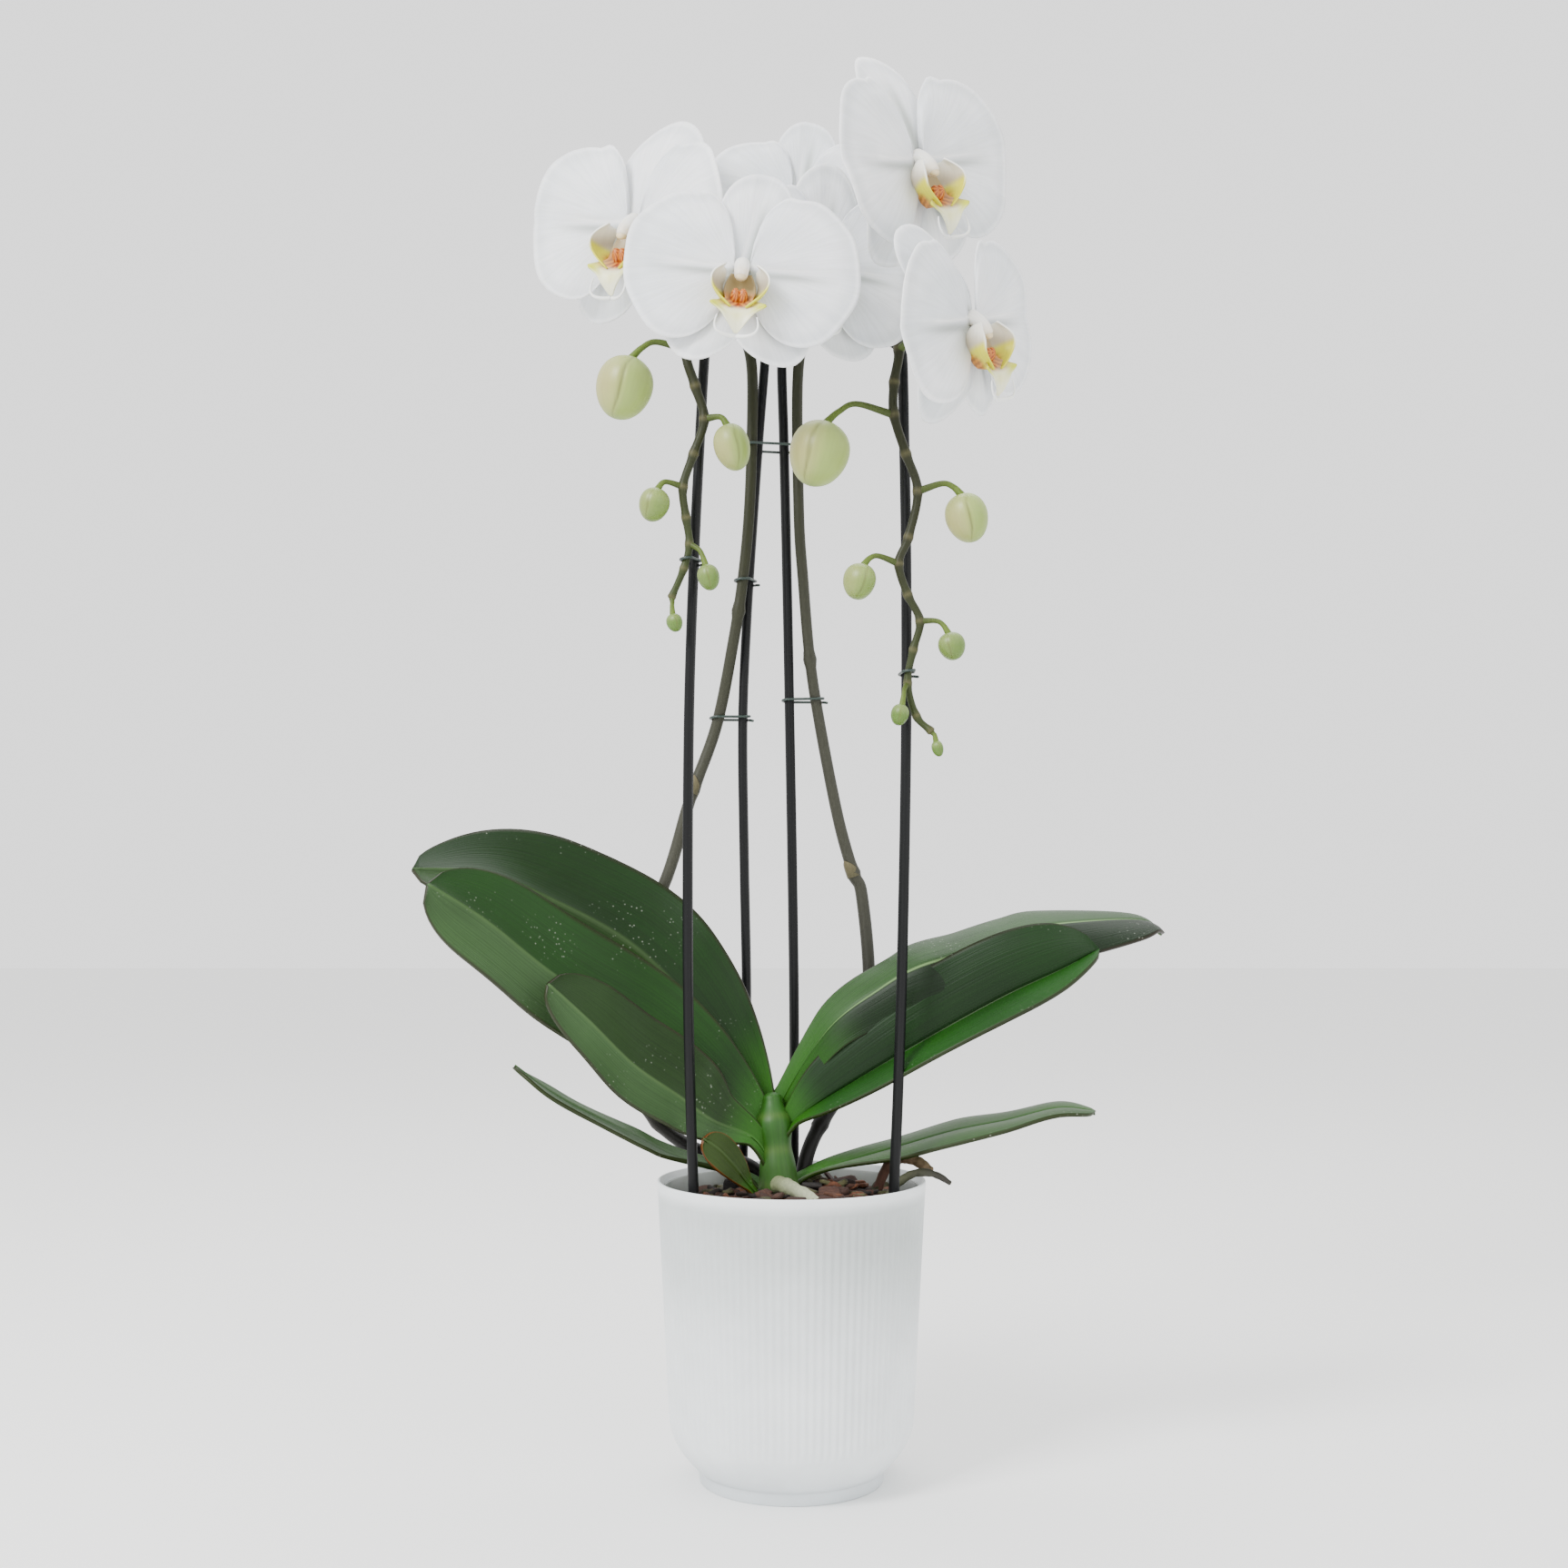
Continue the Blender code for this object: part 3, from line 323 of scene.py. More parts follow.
def tissue(name, roughness, vein_scale, vein_strength, bump_mm, speck=0.0, **extras):
    """Plant tissue: the piece's own tint, darkened along fine veins that run down its UVs, with
    the veins raised in the bump. Vein_scale is (across, along) repeats over the piece."""
    made, tree, shader = new_surface(name, roughness, **extras)
    tint = add_node(tree, "ShaderNodeAttribute", {"attribute_name": "tint"}).outputs["Color"]
    uv = add_node(tree, "ShaderNodeUVMap", {"uv_map": "UVMap"}).outputs["UV"]
    place = add_node(tree, "ShaderNodeMapping", inputs={"Vector": uv, "Scale": (*vein_scale, 1.0)})
    veins = add_node(tree, "ShaderNodeTexNoise", {"noise_dimensions": "2D"},
                     {"Vector": place.outputs["Vector"], "Scale": 1.0, "Detail": 3.0,
                      "Roughness": 0.6})
    lines = ramp(tree, veins.outputs["Fac"], [(0.38, (1 - vein_strength,) * 3), (0.62, (1.0,) * 3)])
    colour = mixed(tree, "MULTIPLY", 1.0, tint, lines)
    coords = add_node(tree, "ShaderNodeTexCoord").outputs["Object"]
    broad = add_node(tree, "ShaderNodeTexNoise",
                     inputs={"Vector": coords, "Scale": 60.0, "Detail": 3.0})
    clouds = ramp(tree, broad.outputs["Fac"], [(0.3, (0.92,) * 3), (0.7, (1.0,) * 3)])
    colour = mixed(tree, "MULTIPLY", 1.0, colour, clouds)
    if speck:
        dots = add_node(tree, "ShaderNodeTexVoronoi", {"feature": "F1"},
                        {"Vector": coords, "Scale": 420.0, "Randomness": 1.0})
        where = add_node(tree, "ShaderNodeTexNoise", inputs={"Vector": coords, "Scale": 35.0})
        near = ramp(tree, dots.outputs["Distance"], [(0.0, (1.0,) * 3), (0.22, (0.0,) * 3)])
        area = ramp(tree, where.outputs["Fac"], [(0.55, (0.0,) * 3), (0.7, (speck,) * 3)])
        dust = mixed(tree, "MULTIPLY", 1.0, near, area)
        colour = mixed(tree, "MIX", dust, colour, (*linear("#D8DCCF"), 1.0))
    tree.links.new(colour, shader.inputs["Base Color"])
    bump = add_node(tree, "ShaderNodeBump", inputs={"Height": veins.outputs["Fac"],
                                                    "Strength": 0.6, "Distance": bump_mm * MM})
    tree.links.new(bump.outputs["Normal"], shader.inputs["Normal"])
    return made


def grained(name, roughness, scale, bump_mm, contrast, stretch=(1.0, 1.0, 1.0), **extras):
    """A grainy surface: the piece's tint, clouded by noise whose grain is 1 / scale metres."""
    made, tree, shader = new_surface(name, roughness, **extras)
    tint = add_node(tree, "ShaderNodeAttribute", {"attribute_name": "tint"}).outputs["Color"]
    coords = add_node(tree, "ShaderNodeTexCoord").outputs["Object"]
    place = add_node(tree, "ShaderNodeMapping", inputs={"Vector": coords, "Scale": stretch})
    grain = add_node(tree, "ShaderNodeTexNoise",
                     inputs={"Vector": place.outputs["Vector"], "Scale": scale, "Detail": 5.0,
                             "Roughness": 0.65})
    dark, pale = 1 - contrast, 1 + contrast * 0.3
    clouds = ramp(tree, grain.outputs["Fac"], [(0.3, (dark,) * 3), (0.7, (pale,) * 3)])
    tree.links.new(mixed(tree, "MULTIPLY", 1.0, tint, clouds), shader.inputs["Base Color"])
    bump = add_node(tree, "ShaderNodeBump", inputs={"Height": grain.outputs["Fac"],
                                                    "Strength": 0.7, "Distance": bump_mm * MM})
    tree.links.new(bump.outputs["Normal"], shader.inputs["Normal"])
    return made


def make_surfaces():
    """All finishes, each from what the real one is."""
    return {
        # Waxy flower tissue: matt white, soft light through it, fine veins from the middle out.
        "petal": tissue("moth_orchid_petal_tissue", 0.55, (64, 1.6), 0.07, 0.3,
                        Subsurface_Weight=0.25, Subsurface_Radius=(0.004, 0.004, 0.003),
                        Subsurface_Scale=0.5, Sheen_Weight=0.1),
        # The lip's firmer tissue, glossier than the petals.
        "lip": tissue("orchid_lip_tissue", 0.38, (30, 2.0), 0.05, 0.1,
                      Subsurface_Weight=0.2, Subsurface_Radius=(0.003, 0.003, 0.002),
                      Subsurface_Scale=0.5),
        # Waxy strap leaf: satin gloss, long parallel veins, a little dust.
        "leaf": tissue("waxy_strap_leaf", 0.42, (60, 1.2), 0.2, 0.25, speck=0.3,
                       Specular_IOR_Level=0.2),
        # Young crown tissue, smoother and brighter than the leaves.
        "crown": tissue("young_crown_tissue", 0.48, (24, 1.5), 0.16, 0.2, Specular_IOR_Level=0.35),
        # Woody green spike skin.
        "spike": grained("flower_spike_skin", 0.5, 900.0, 0.12, 0.22, (1.0, 1.0, 0.35),
                         Specular_IOR_Level=0.25),
        # Smooth closed bud.
        "bud": tissue("closed_bud_tissue", 0.42, (40, 2.4), 0.05, 0.1,
                      Subsurface_Weight=0.15, Subsurface_Radius=(0.003, 0.004, 0.001),
                      Subsurface_Scale=0.5),
        # Velvety root skin.
        "root": grained("aerial_root_skin", 0.75, 700.0, 0.2, 0.3),
        # Split pine bark: rough, layered.
        "bark": grained("split_pine_bark", 0.88, 520.0, 0.6, 0.55, (1.0, 1.0, 2.5)),
        # Extruded plastic support stick.
        "stick": grained("extruded_plastic_stick", 0.42, 500.0, 0.05, 0.2, (1.0, 1.0, 0.1),
                         Specular_IOR_Level=0.18),
        # Coated wire clip.
        "clip": grained("coated_wire", 0.4, 900.0, 0.04, 0.2),
        # Frosted polypropylene: a satin skin with faint clouding.
        "frosted": grained("frosted_polypropylene", 0.42, 34.0, 0.05, 0.09, IOR=1.49,
                           Subsurface_Weight=0.2, Subsurface_Radius=(0.006, 0.006, 0.006),
                           Subsurface_Scale=0.5),
        # Clear thermoformed pot, hazy from water.
        "clear": grained("clear_thermoformed_plastic", 0.22, 60.0, 0.05, 0.12, IOR=1.5, Alpha=0.55),
    }


# ------------------------------------------------------------------ pots and bark

def pot_profile():
    """The cover pot in section, from the middle of its underside, out over the plain foot, up
    the shoulder, whose radius falls with the square of the share of the way down, up the straight
    wall, over the round rim, and down inside to the floor. The third value is how much of the
    ribs each point has."""
    under = [(0, 0, 0), (FOOT_RADIUS * 0.6, 0, 0), (FOOT_RADIUS - 0.6 * MM, 0, 0),
             (FOOT_RADIUS, 0.6 * MM, 0), (FOOT_RADIUS + 0.2 * MM, 5.4 * MM, 0),
             (FOOT_RADIUS + 0.7 * MM, 6.2 * MM, 0)]
    drop = np.linspace(1, 0, 16)
    shoulder = SHOULDER_RADIUS - (SHOULDER_RADIUS - FOOT_RADIUS - FOOT_LEDGE) * drop ** 2
    curve = np.stack([shoulder, SHOULDER_HEIGHT - (SHOULDER_HEIGHT - FOOT_HEIGHT) * drop, 0 * drop], axis=1)
    rim_start = POT_HEIGHT - RIM_ROUND
    height = np.linspace(SHOULDER_HEIGHT, rim_start, 46)[1:]
    share = (height - SHOULDER_HEIGHT) / (POT_HEIGHT - SHOULDER_HEIGHT)
    flare = SHOULDER_RADIUS + (RIM_RADIUS - SHOULDER_RADIUS) * share
    straight = np.stack([flare, height, 0 * height], axis=1)
    q = np.linspace(0, np.pi, 7)[1:]
    rim = np.stack([RIM_RADIUS - POT_WALL / 2 + POT_WALL / 2 * np.cos(q),
                    rim_start + RIM_ROUND * np.sin(q), 0 * q], axis=1)
    inside = np.vstack([curve[3:], straight])[::-4] - np.array([POT_WALL, 0, 0])
    inside = inside[inside[:, 1] > POT_FLOOR + 1 * MM]
    floor = [[FOOT_RADIUS, POT_FLOOR, 0], [FOOT_RADIUS * 0.5, POT_FLOOR, 0], [0, POT_FLOOR, 0]]
    rows = np.vstack([under, curve, straight, rim, inside, floor])
    outer = np.arange(len(rows)) < len(under) + len(curve) + len(straight)
    ribbed = ease(*RIBS_FADE_IN, rows[:, 1]) * (1 - ease(*RIBS_FADE_OUT, rows[:, 1]))
    rows[:, 2] = outer * ribbed
    return rows


def build_cover_pot(surfaces, settings):
    """The frosted pot. Its ribs are a row of shallow round ridges, (1 + cos n a) / 2 deep. It is
    greyer where the dark bark shows through, paler at the rim and bluer round the foot."""
    ribs = round(TURN * RIB_RADIUS / settings.rib_pitch)
    sides = ribs * 6
    rows = pot_profile()
    a = (np.arange(sides) / sides * TURN)[None]
    height = rows[:, 1:2]
    clouds = 0.5 + 0.5 * lumps(np.cos(a) * 2.2, np.sin(a) * 2.2, height * 26, 3)
    damp = ease(48 * MM, 118 * MM, height) * (0.45 + 0.55 * clouds)
    tint = blend(np.array(settings.pot_colour), shade("#A2AAA8"), 0.9 * damp)
    tint = blend(tint, shade("#F2F6F8"), 0.7 * ease(129 * MM, 135 * MM, height) + 0 * a)
    tint = blend(tint, shade("#CBD3D8"), 0.6 * (1 - ease(2 * MM, 22 * MM, height)) + 0 * a)

    def groove(angle):
        """Depth of the grooves between the ribs."""
        return settings.rib_depth * (0.5 * np.cos(ribs * angle) - 0.5)

    wall = turned(rows, sides, groove, tint)
    piece("cover_pot_ribbed", [wall], surfaces["frosted"], ["cover_pot"])


def build_grower_pot(surfaces):
    """The clear pot inside: a straight taper with a rolled rim and five drain holes."""
    low, top = GROWER_LOW.z, GROWER_HIGH.z
    foot, wall = GROWER_RADIUS - GROWER_TAPER, GROWER_WALL
    rim_round = wall / 2
    height = np.linspace(low + wall, top - rim_round, 12)
    outer = foot + (GROWER_RADIUS - foot) * (height - low) / (top - low)
    q = np.linspace(0, np.pi, 5)[1:-1]
    rim = GROWER_RADIUS - wall / 2 + wall / 2 * np.cos(q)
    rows = [(0, low, 0), (foot * 0.5, low, 0), (foot, low, 0)]
    rows += list(zip(outer, height, 0 * height))
    rows += list(zip(rim, top - rim_round + rim_round * np.sin(q), 0 * q))
    rows += list(zip((outer - wall)[::-1], height[::-1], 0 * height))
    rows += [(foot * 0.5, low + wall, 0), (0, low + wall, 0)]
    tint = np.repeat(shade("#C9CDC8")[None], len(rows), 0)
    pot = piece("grower_pot_clear", [turned(rows, 128, tint=tint)],
                surfaces["clear"], ["grower_pot"])
    holes = []
    for angle in np.arange(5) / 5 * TURN:
        x, y = foot * 0.6 * np.cos(angle), foot * 0.6 * np.sin(angle)
        drill = np.array([[x, y, low - 2 * MM], [x, y, low + 3 * MM]])
        holes.append(tube(drill, 4 * MM, 24))
    cutter = bpy.data.objects.new("drain_cutter", new_mesh("drain_cutter", holes))
    bpy.context.scene.collection.objects.link(cutter)
    cut = pot.modifiers.new("drain_holes", "BOOLEAN")
    cut.operation = "DIFFERENCE"
    cut.solver = "EXACT"
    cut.object = cutter
    graph = bpy.context.evaluated_depsgraph_get()
    mesh = bpy.data.meshes.new_from_object(pot.evaluated_get(graph))
    pot.modifiers.clear()
    pot.data = mesh
    bpy.data.objects.remove(cutter, do_unlink=True)


CHIP_COUNT = 520
CHIP_COLOURS = ("#33190E", "#4E2C1A", "#6A3E26", "#24140C", "#40251A", "#180E0A", "#4C4A2C")


def bark_height(x, y):
    """Height of the bark's top: a low mound, higher to the right, rough with chips."""
    out = np.minimum(1.0, np.hypot(x, y) / BARK_RADIUS)
    rough = np.sin(x * 410 + 1.0) * np.cos(y * 370 + 0.5) + 0.6 * np.sin((x + y) * 700)
    return BARK_TOP + 9 * MM * (1 - out ** 2) * (1 + 6 * x) + 1.6 * MM * rough * (1 - out ** 4)


def about(axis, angles):
    """Rotation matrices about one of the three axes (0, 1 or 2), one for each angle."""
    first, second = (axis + 1) % 3, (axis + 2) % 3
    made = np.zeros((len(angles), 3, 3))
    made[:, axis, axis] = 1
    made[:, first, first] = made[:, second, second] = np.cos(angles)
    made[:, second, first] = np.sin(angles)
    made[:, first, second] = -np.sin(angles)
    return made


def superellipsoid(power, rows, columns):
    """A rounded block of size one, from its underside up: x is |cos h|^p |cos w|^p with the
    signs of the cosines, y has sin w for cos w, and z is |sin h|^p with the sign of sin h."""
    def signed(value):
        return np.sign(value) * np.abs(value) ** power

    h = np.linspace(-np.pi / 2, np.pi / 2, rows)[:, None]
    w = (np.arange(columns) / columns * TURN)[None]
    return np.stack([signed(np.cos(h)) * signed(np.cos(w)), signed(np.cos(h)) * signed(np.sin(w)),
                     signed(np.sin(h)) * np.ones_like(w)], axis=-1)


def chips(count, seed, keep_clear):
    """Many chips at once. Each is a superellipsoid with its own length, width and thickness,
    bent by noise and turned by its own three angles."""
    rng = np.random.default_rng(seed)
    out = BARK_RADIUS * np.sqrt(rng.uniform(0.0, 0.92, count * 2))
    around = rng.uniform(0, TURN, count * 2)
    x, y = out * np.cos(around), out * np.sin(around)
    clear = np.ones(count * 2, bool)
    for cx, cy, radius in keep_clear:
        clear &= np.hypot(x - cx, y - cy) > radius
    x, y = x[clear][:count], y[clear][:count]
    count = len(x)
    long = rng.uniform(4.0, 9.5, count) * MM / 2 * 1.25
    wide = long * rng.uniform(0.5, 0.85, count)
    thick = rng.uniform(1.4, 3.0, count) * MM / 2
    body = superellipsoid(0.45, 7, 10)[None] * np.stack([long, wide, thick], axis=-1)[:, None, None]
    own = np.arange(count)[:, None, None] * 3
    noise = lumps(body[..., 0] * 420, body[..., 1] * 420 + own, body[..., 2] * 300, seed)
    body = body * (1 + 0.22 * noise[..., None])
    length = long[:, None, None]
    body[..., 2] += 0.12 * length * np.sin(body[..., 0] / length * 1.6)
    yaw = rng.uniform(0, TURN, count)
    tip = rng.normal(0, 0.33, count)
    lean = rng.normal(0, 0.33, count)
    body = np.einsum("nij,nabj->nabi", about(2, yaw) @ about(1, tip) @ about(0, lean), body)
    z = bark_height(x, y) + rng.uniform(-1.2, 0.6, count) * MM
    body += np.stack([x, y, z], -1)[:, None, None]
    palette = np.array([shade(code) for code in CHIP_COLOURS])
    pick = palette[rng.integers(0, len(palette), count)] * rng.uniform(0.7, 1.15, count)[:, None]
    return [patch(part, wrap=True, tint=colour) for part, colour in zip(body, pick)]


def build_bark(surfaces):
    """Bark chips lying on a rough bed that fills the grower's pot."""
    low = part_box("bark_medium")[0].z
    foot = BARK_RADIUS - BARK_TAPER
    sides = 96
    share = np.linspace(0, 1, 26)[::-1, None]
    a = (np.arange(sides) / sides * TURN)[None]
    x, y = share * BARK_RADIUS * np.cos(a), share * BARK_RADIUS * np.sin(a)
    top = np.stack([x, y, bark_height(x, y) - 1.4 * MM], axis=-1)
    side = np.array([(0.0, low), (foot, low), (BARK_RADIUS, BARK_TOP - 3 * MM)])
    wall = np.stack([side[:, :1] * np.cos(a), side[:, :1] * np.sin(a),
                     np.repeat(side[:, 1:], sides, 1)], axis=-1)
    bed = patch(np.vstack([wall, top]), wrap=True, tint=shade("#2E1F18"))
    crown = PATHS["crown_stem"][3]
    clear = [(crown[0], crown[1], 10 * MM)]
    for side_name in HOOPS:
        for leg in ("front", "back"):
            stick = leg_points(side_name, leg, [3.0])[0]
            clear.append((stick[0], stick[1], 4.0 * MM))
    for name in ("root_front", "root_over_rim", "root_dry"):
        root = PATHS[name][2]
        clear.append((root[0], root[1], 4.5 * MM))
    piece("bark_chips", [bed] + chips(CHIP_COUNT, 11, clear), surfaces["bark"], ["bark_medium"])


# ------------------------------------------------------------------ hoops and clips

# Each hoop: the angle round the bark where its legs stand, in degrees, and how far each leg
# leans on the way up, as (height over the bark, x, y) in millimetres.
HOOPS = {
    "left": {
        "front": (-147.0, [(0, 0, 0), (98, -3, -1), (222, -3, -3), (316, 0, -5), (393, 4, -7)]),
        "back": (117.0, [(0, 0, 0), (98, 2, -10), (228, 0, -10), (330, 5, -10), (413, 11, -12)]),
    },
    "right": {
        "front": (-29.0, [(0, 0, 0), (98, 4, -2), (222, 6.5, -5), (316, 6.5, -7), (393, 5, -9)]),
        "back": (88.5, [(0, 0, 0), (98, 0, -13), (228, -2, -13), (330, -4, -13), (413, -6, -15)]),
    },
}

STICK_REACH = BARK_RADIUS - 5.5 * MM

# How deep a leg stands under the bark, how far its end leans in there, and the heights where
# the legs pass into the arch, in millimetres.
STICK_DEPTH = 62
STICK_LEAN = 2.5
BACK_TOP = 413
FRONT_TOP = 393


def leg_points(side, leg, heights):
    """Middle of a hoop's leg at heights over the bark in millimetres: its foot on the bark plus
    the lean there, read from the smooth curve through its table."""
    angle, leans = HOOPS[side][leg]
    angle = math.radians(angle)
    lean = smooth_path(leans, 6)
    heights = np.asarray(heights, float)
    x = np.interp(heights, lean[:, 0], lean[:, 1])
    y = np.interp(heights, lean[:, 0], lean[:, 2])
    inward = STICK_LEAN * np.clip(-heights / STICK_DEPTH, 0, None)
    reach = STICK_REACH - inward * MM
    return np.stack([reach * math.cos(angle) + x * MM, reach * math.sin(angle) + y * MM,
                     BARK_TOP + heights * MM], axis=-1)


def arch_points(side):
    """Over the top of a hoop: a half turn from its back leg to its front leg."""
    back = leg_points(side, "back", [BACK_TOP])[0]
    front = leg_points(side, "front", [FRONT_TOP])[0]
    q = np.pi * np.arange(1, 8) / 8
    share = ((1 - np.cos(q)) / 2)[:, None]
    run = back * (1 - share) + front * share
    run[:, 2] += (BARK_TOP + HOOP_TOP - max(back[2], front[2])) * np.sin(q)
    return run


def flattened(angle):
    """A stick's section: a circle pressed a little flat on two sides, 1 - 0.14 cos^8 a."""
    return 1.0 - 0.14 * np.cos(angle) ** 8


def build_hoops(surfaces):
    """Two bent sticks, each up its back leg, over the arch and down its front leg."""
    for side in HOOPS:
        up = leg_points(side, "back", (-STICK_DEPTH, 0, 50, 98, 163, 228, 280, 330, 372, BACK_TOP))
        down = leg_points(side, "front", (FRONT_TOP, 355, 316, 268, 222, 160, 98, 50, 0, -STICK_DEPTH))
        path = smooth_path(np.vstack([up, arch_points(side), down]), 6)
        tint = np.repeat(shade("#0E0F10")[None], len(path), 0)
        piece("support_hoop_stick_" + side, [tube(path, STICK_COATED, 20, tint, section=flattened)],
              surfaces["stick"], ["support_hoop_" + side])


# A clip: its height over the bark in millimetres and what it holds.
CLIPS = {
    "clip_left_low": (232, [("stick", "left", "back"), ("spike", "left", "back")]),
    "clip_left_high": (299, [("stick", "left", "back"), ("spike", "left", "back")]),
    "clip_right_low": (241, [("stick", "right", "back"), ("spike", "right", "back")]),
    "clip_top": (366, [("stick", "left", "back"), ("spike", "left", "back"),
                       ("stick", "right", "back"), ("spike", "right", "back")]),
    "clip_left_front": (297, [("stick", "left", "front"), ("spike", "left", "front")]),
    "clip_right_front": (246, [("stick", "right", "front"), ("spike", "right", "front")]),
}


def spike_crossing(side, height, run):
    """Place and radius of a spike where it passes a height, going up or coming down."""
    path = SPIKE_PATHS[side]
    top = int(np.argmax(path[:, 2]))
    stretch = path[:top + 1] if run == "back" else path[top:][::-1]
    level = BARK_TOP + height * MM
    order = np.argsort(stretch[:, 2])
    return [np.interp(level, stretch[order, 2], stretch[order, column]) for column in (0, 1, 3)]


def build_clips(surfaces):
    """Wire clips. A clip's loop is the outline of what it holds, pushed out: for each heading
    the furthest circle edge that way, plus the play. It rises a little as it goes round, so its
    ends cross, and each end has a short tail."""
    wire, play = 0.65 * MM, 0.5 * MM
    for name, (height, held) in CLIPS.items():
        places = []
        for kind, side, leg in held:
            if kind == "stick":
                x, y = leg_points(side, leg, [height])[0][:2]
                places.append((x, y, STICK_RADIUS))
            else:
                places.append(spike_crossing(side, height, leg))
        places = np.array(places)
        a = np.linspace(0, TURN * 1.12, 60)
        way = np.stack([np.cos(a), np.sin(a)], -1)
        reach = places[:, :2] @ way.T + places[:, 2:]
        pick = places[reach.argmax(0)]
        loop = pick[:, :2] + way * (pick[:, 2:] + play + wire)
        soft = np.vstack([loop[:1], (loop[:-2] + loop[1:-1] * 2 + loop[2:]) / 4, loop[-1:]])
        level = BARK_TOP + height * MM + wire * 3.4 * (np.linspace(0, 1, len(a)) - 0.5)
        path = np.column_stack([soft, level])
        tail = path[-1] + np.array([[-0.5, 2.0, 0.4], [-1.5, 4.0, 0.8]]) * MM
        head = path[0] + np.array([[1.6, -4.0, -0.6], [0.8, -2.0, -0.3]]) * MM
        run = smooth_path(np.vstack([head, path, tail]), 2)
        piece("wire_" + name, [tube(run, wire, 8, shade("#20302A"))], surfaces["clip"], [name])


# ------------------------------------------------------------------ crown and roots

# Paths of thick plant parts: points over the bark and their radius, in millimetres.
THICK = {
    "crown_stem": [(-6, -3, -14, 7.0), (-6, -4, 4, 9.0), (-6.5, -4, 20, 9.0),
                   (-8, -2, 36, 8.5), (-9, 1, 50, 7.0), (-10, 3, 58, 4.0)],
    "root_front": [(-6, -12, 12, 3.4), (-3, -19, 12.5, 3.2), (4, -24, 10, 2.9), (12, -28, 6, 2.6),
                   (22, -31, 3.5, 2.2)],
    "root_over_rim": [(42, -16, 4, 1.7), (48, -14, 12, 1.8), (55, -12, 16.6, 1.9),
                      (62, -11, 17.4, 1.8), (68, -10, 15.6, 1.5), (73, -10, 12.5, 1.2)],
    "root_dry": [(40, 8, 6, 2.2), (45, 7, 17, 2.6), (52, 5, 22, 2.8), (59, 3, 20.5, 2.6),
                 (65, 1, 16.6, 2.0)],
}


def over_bark(points):
    """Rows of (x, y, height over the bark, ...) in millimetres as metres."""
    rows = np.asarray(points, float) * MM
    rows[:, 2] += BARK_TOP
    return rows


PATHS = {name: over_bark(points) for name, points in THICK.items()}


def build_crown(surfaces):
    """The short stem, ringed by the old leaf bases: its radius swells under each leaf foot."""
    path = smooth_path(PATHS["crown_stem"][:-1], 16)
    t = np.linspace(0, 1, len(path))
    rings = 1.02 - 0.20 * np.exp(-((t - 0.60) / 0.12) ** 2) + 0.03 * np.sin(t * 26)
    rings = rings * (1 - 0.35 * ease(0.8, 1.0, t))
    tint = blend(shade("#2C5410"), shade("#1E4E08"), ease(0.2, 0.9, t))
    tint = blend(tint, shade("#4F6A28"), 0.35 * (np.sin(t * 13) ** 12))
    body = tube(path[:, :3], path[:, 3] * rings, 40, tint)
    piece("crown_stem_sheathed", [body], surfaces["crown"], ["crown_stem"])


def build_roots(surfaces):
    """Aerial roots: tubes with uneven thickness, greener or whiter towards the tip."""
    looks = {"root_front": ("#6C7550", "#B4B89C", 1.15),
             "root_over_rim": ("#3F4228", "#25221A", 1.0),
             "root_dry": ("#5E3E30", "#6D5A40", 1.0)}
    for name, (base, tip, swell) in looks.items():
        path = smooth_path(PATHS[name], 12)
        t = np.linspace(0, 1, len(path))
        radius = path[:, 3] * swell * (1 + 0.06 * np.sin(t * 23 + 1) + 0.04 * np.sin(t * 51))
        tint = blend(shade(base), shade(tip), ease(0.05, 0.9, t))
        piece(name + "_skin", [tube(path[:, :3], radius, 20, tint)],
              surfaces["root"], [name])


# ------------------------------------------------------------------ leaves

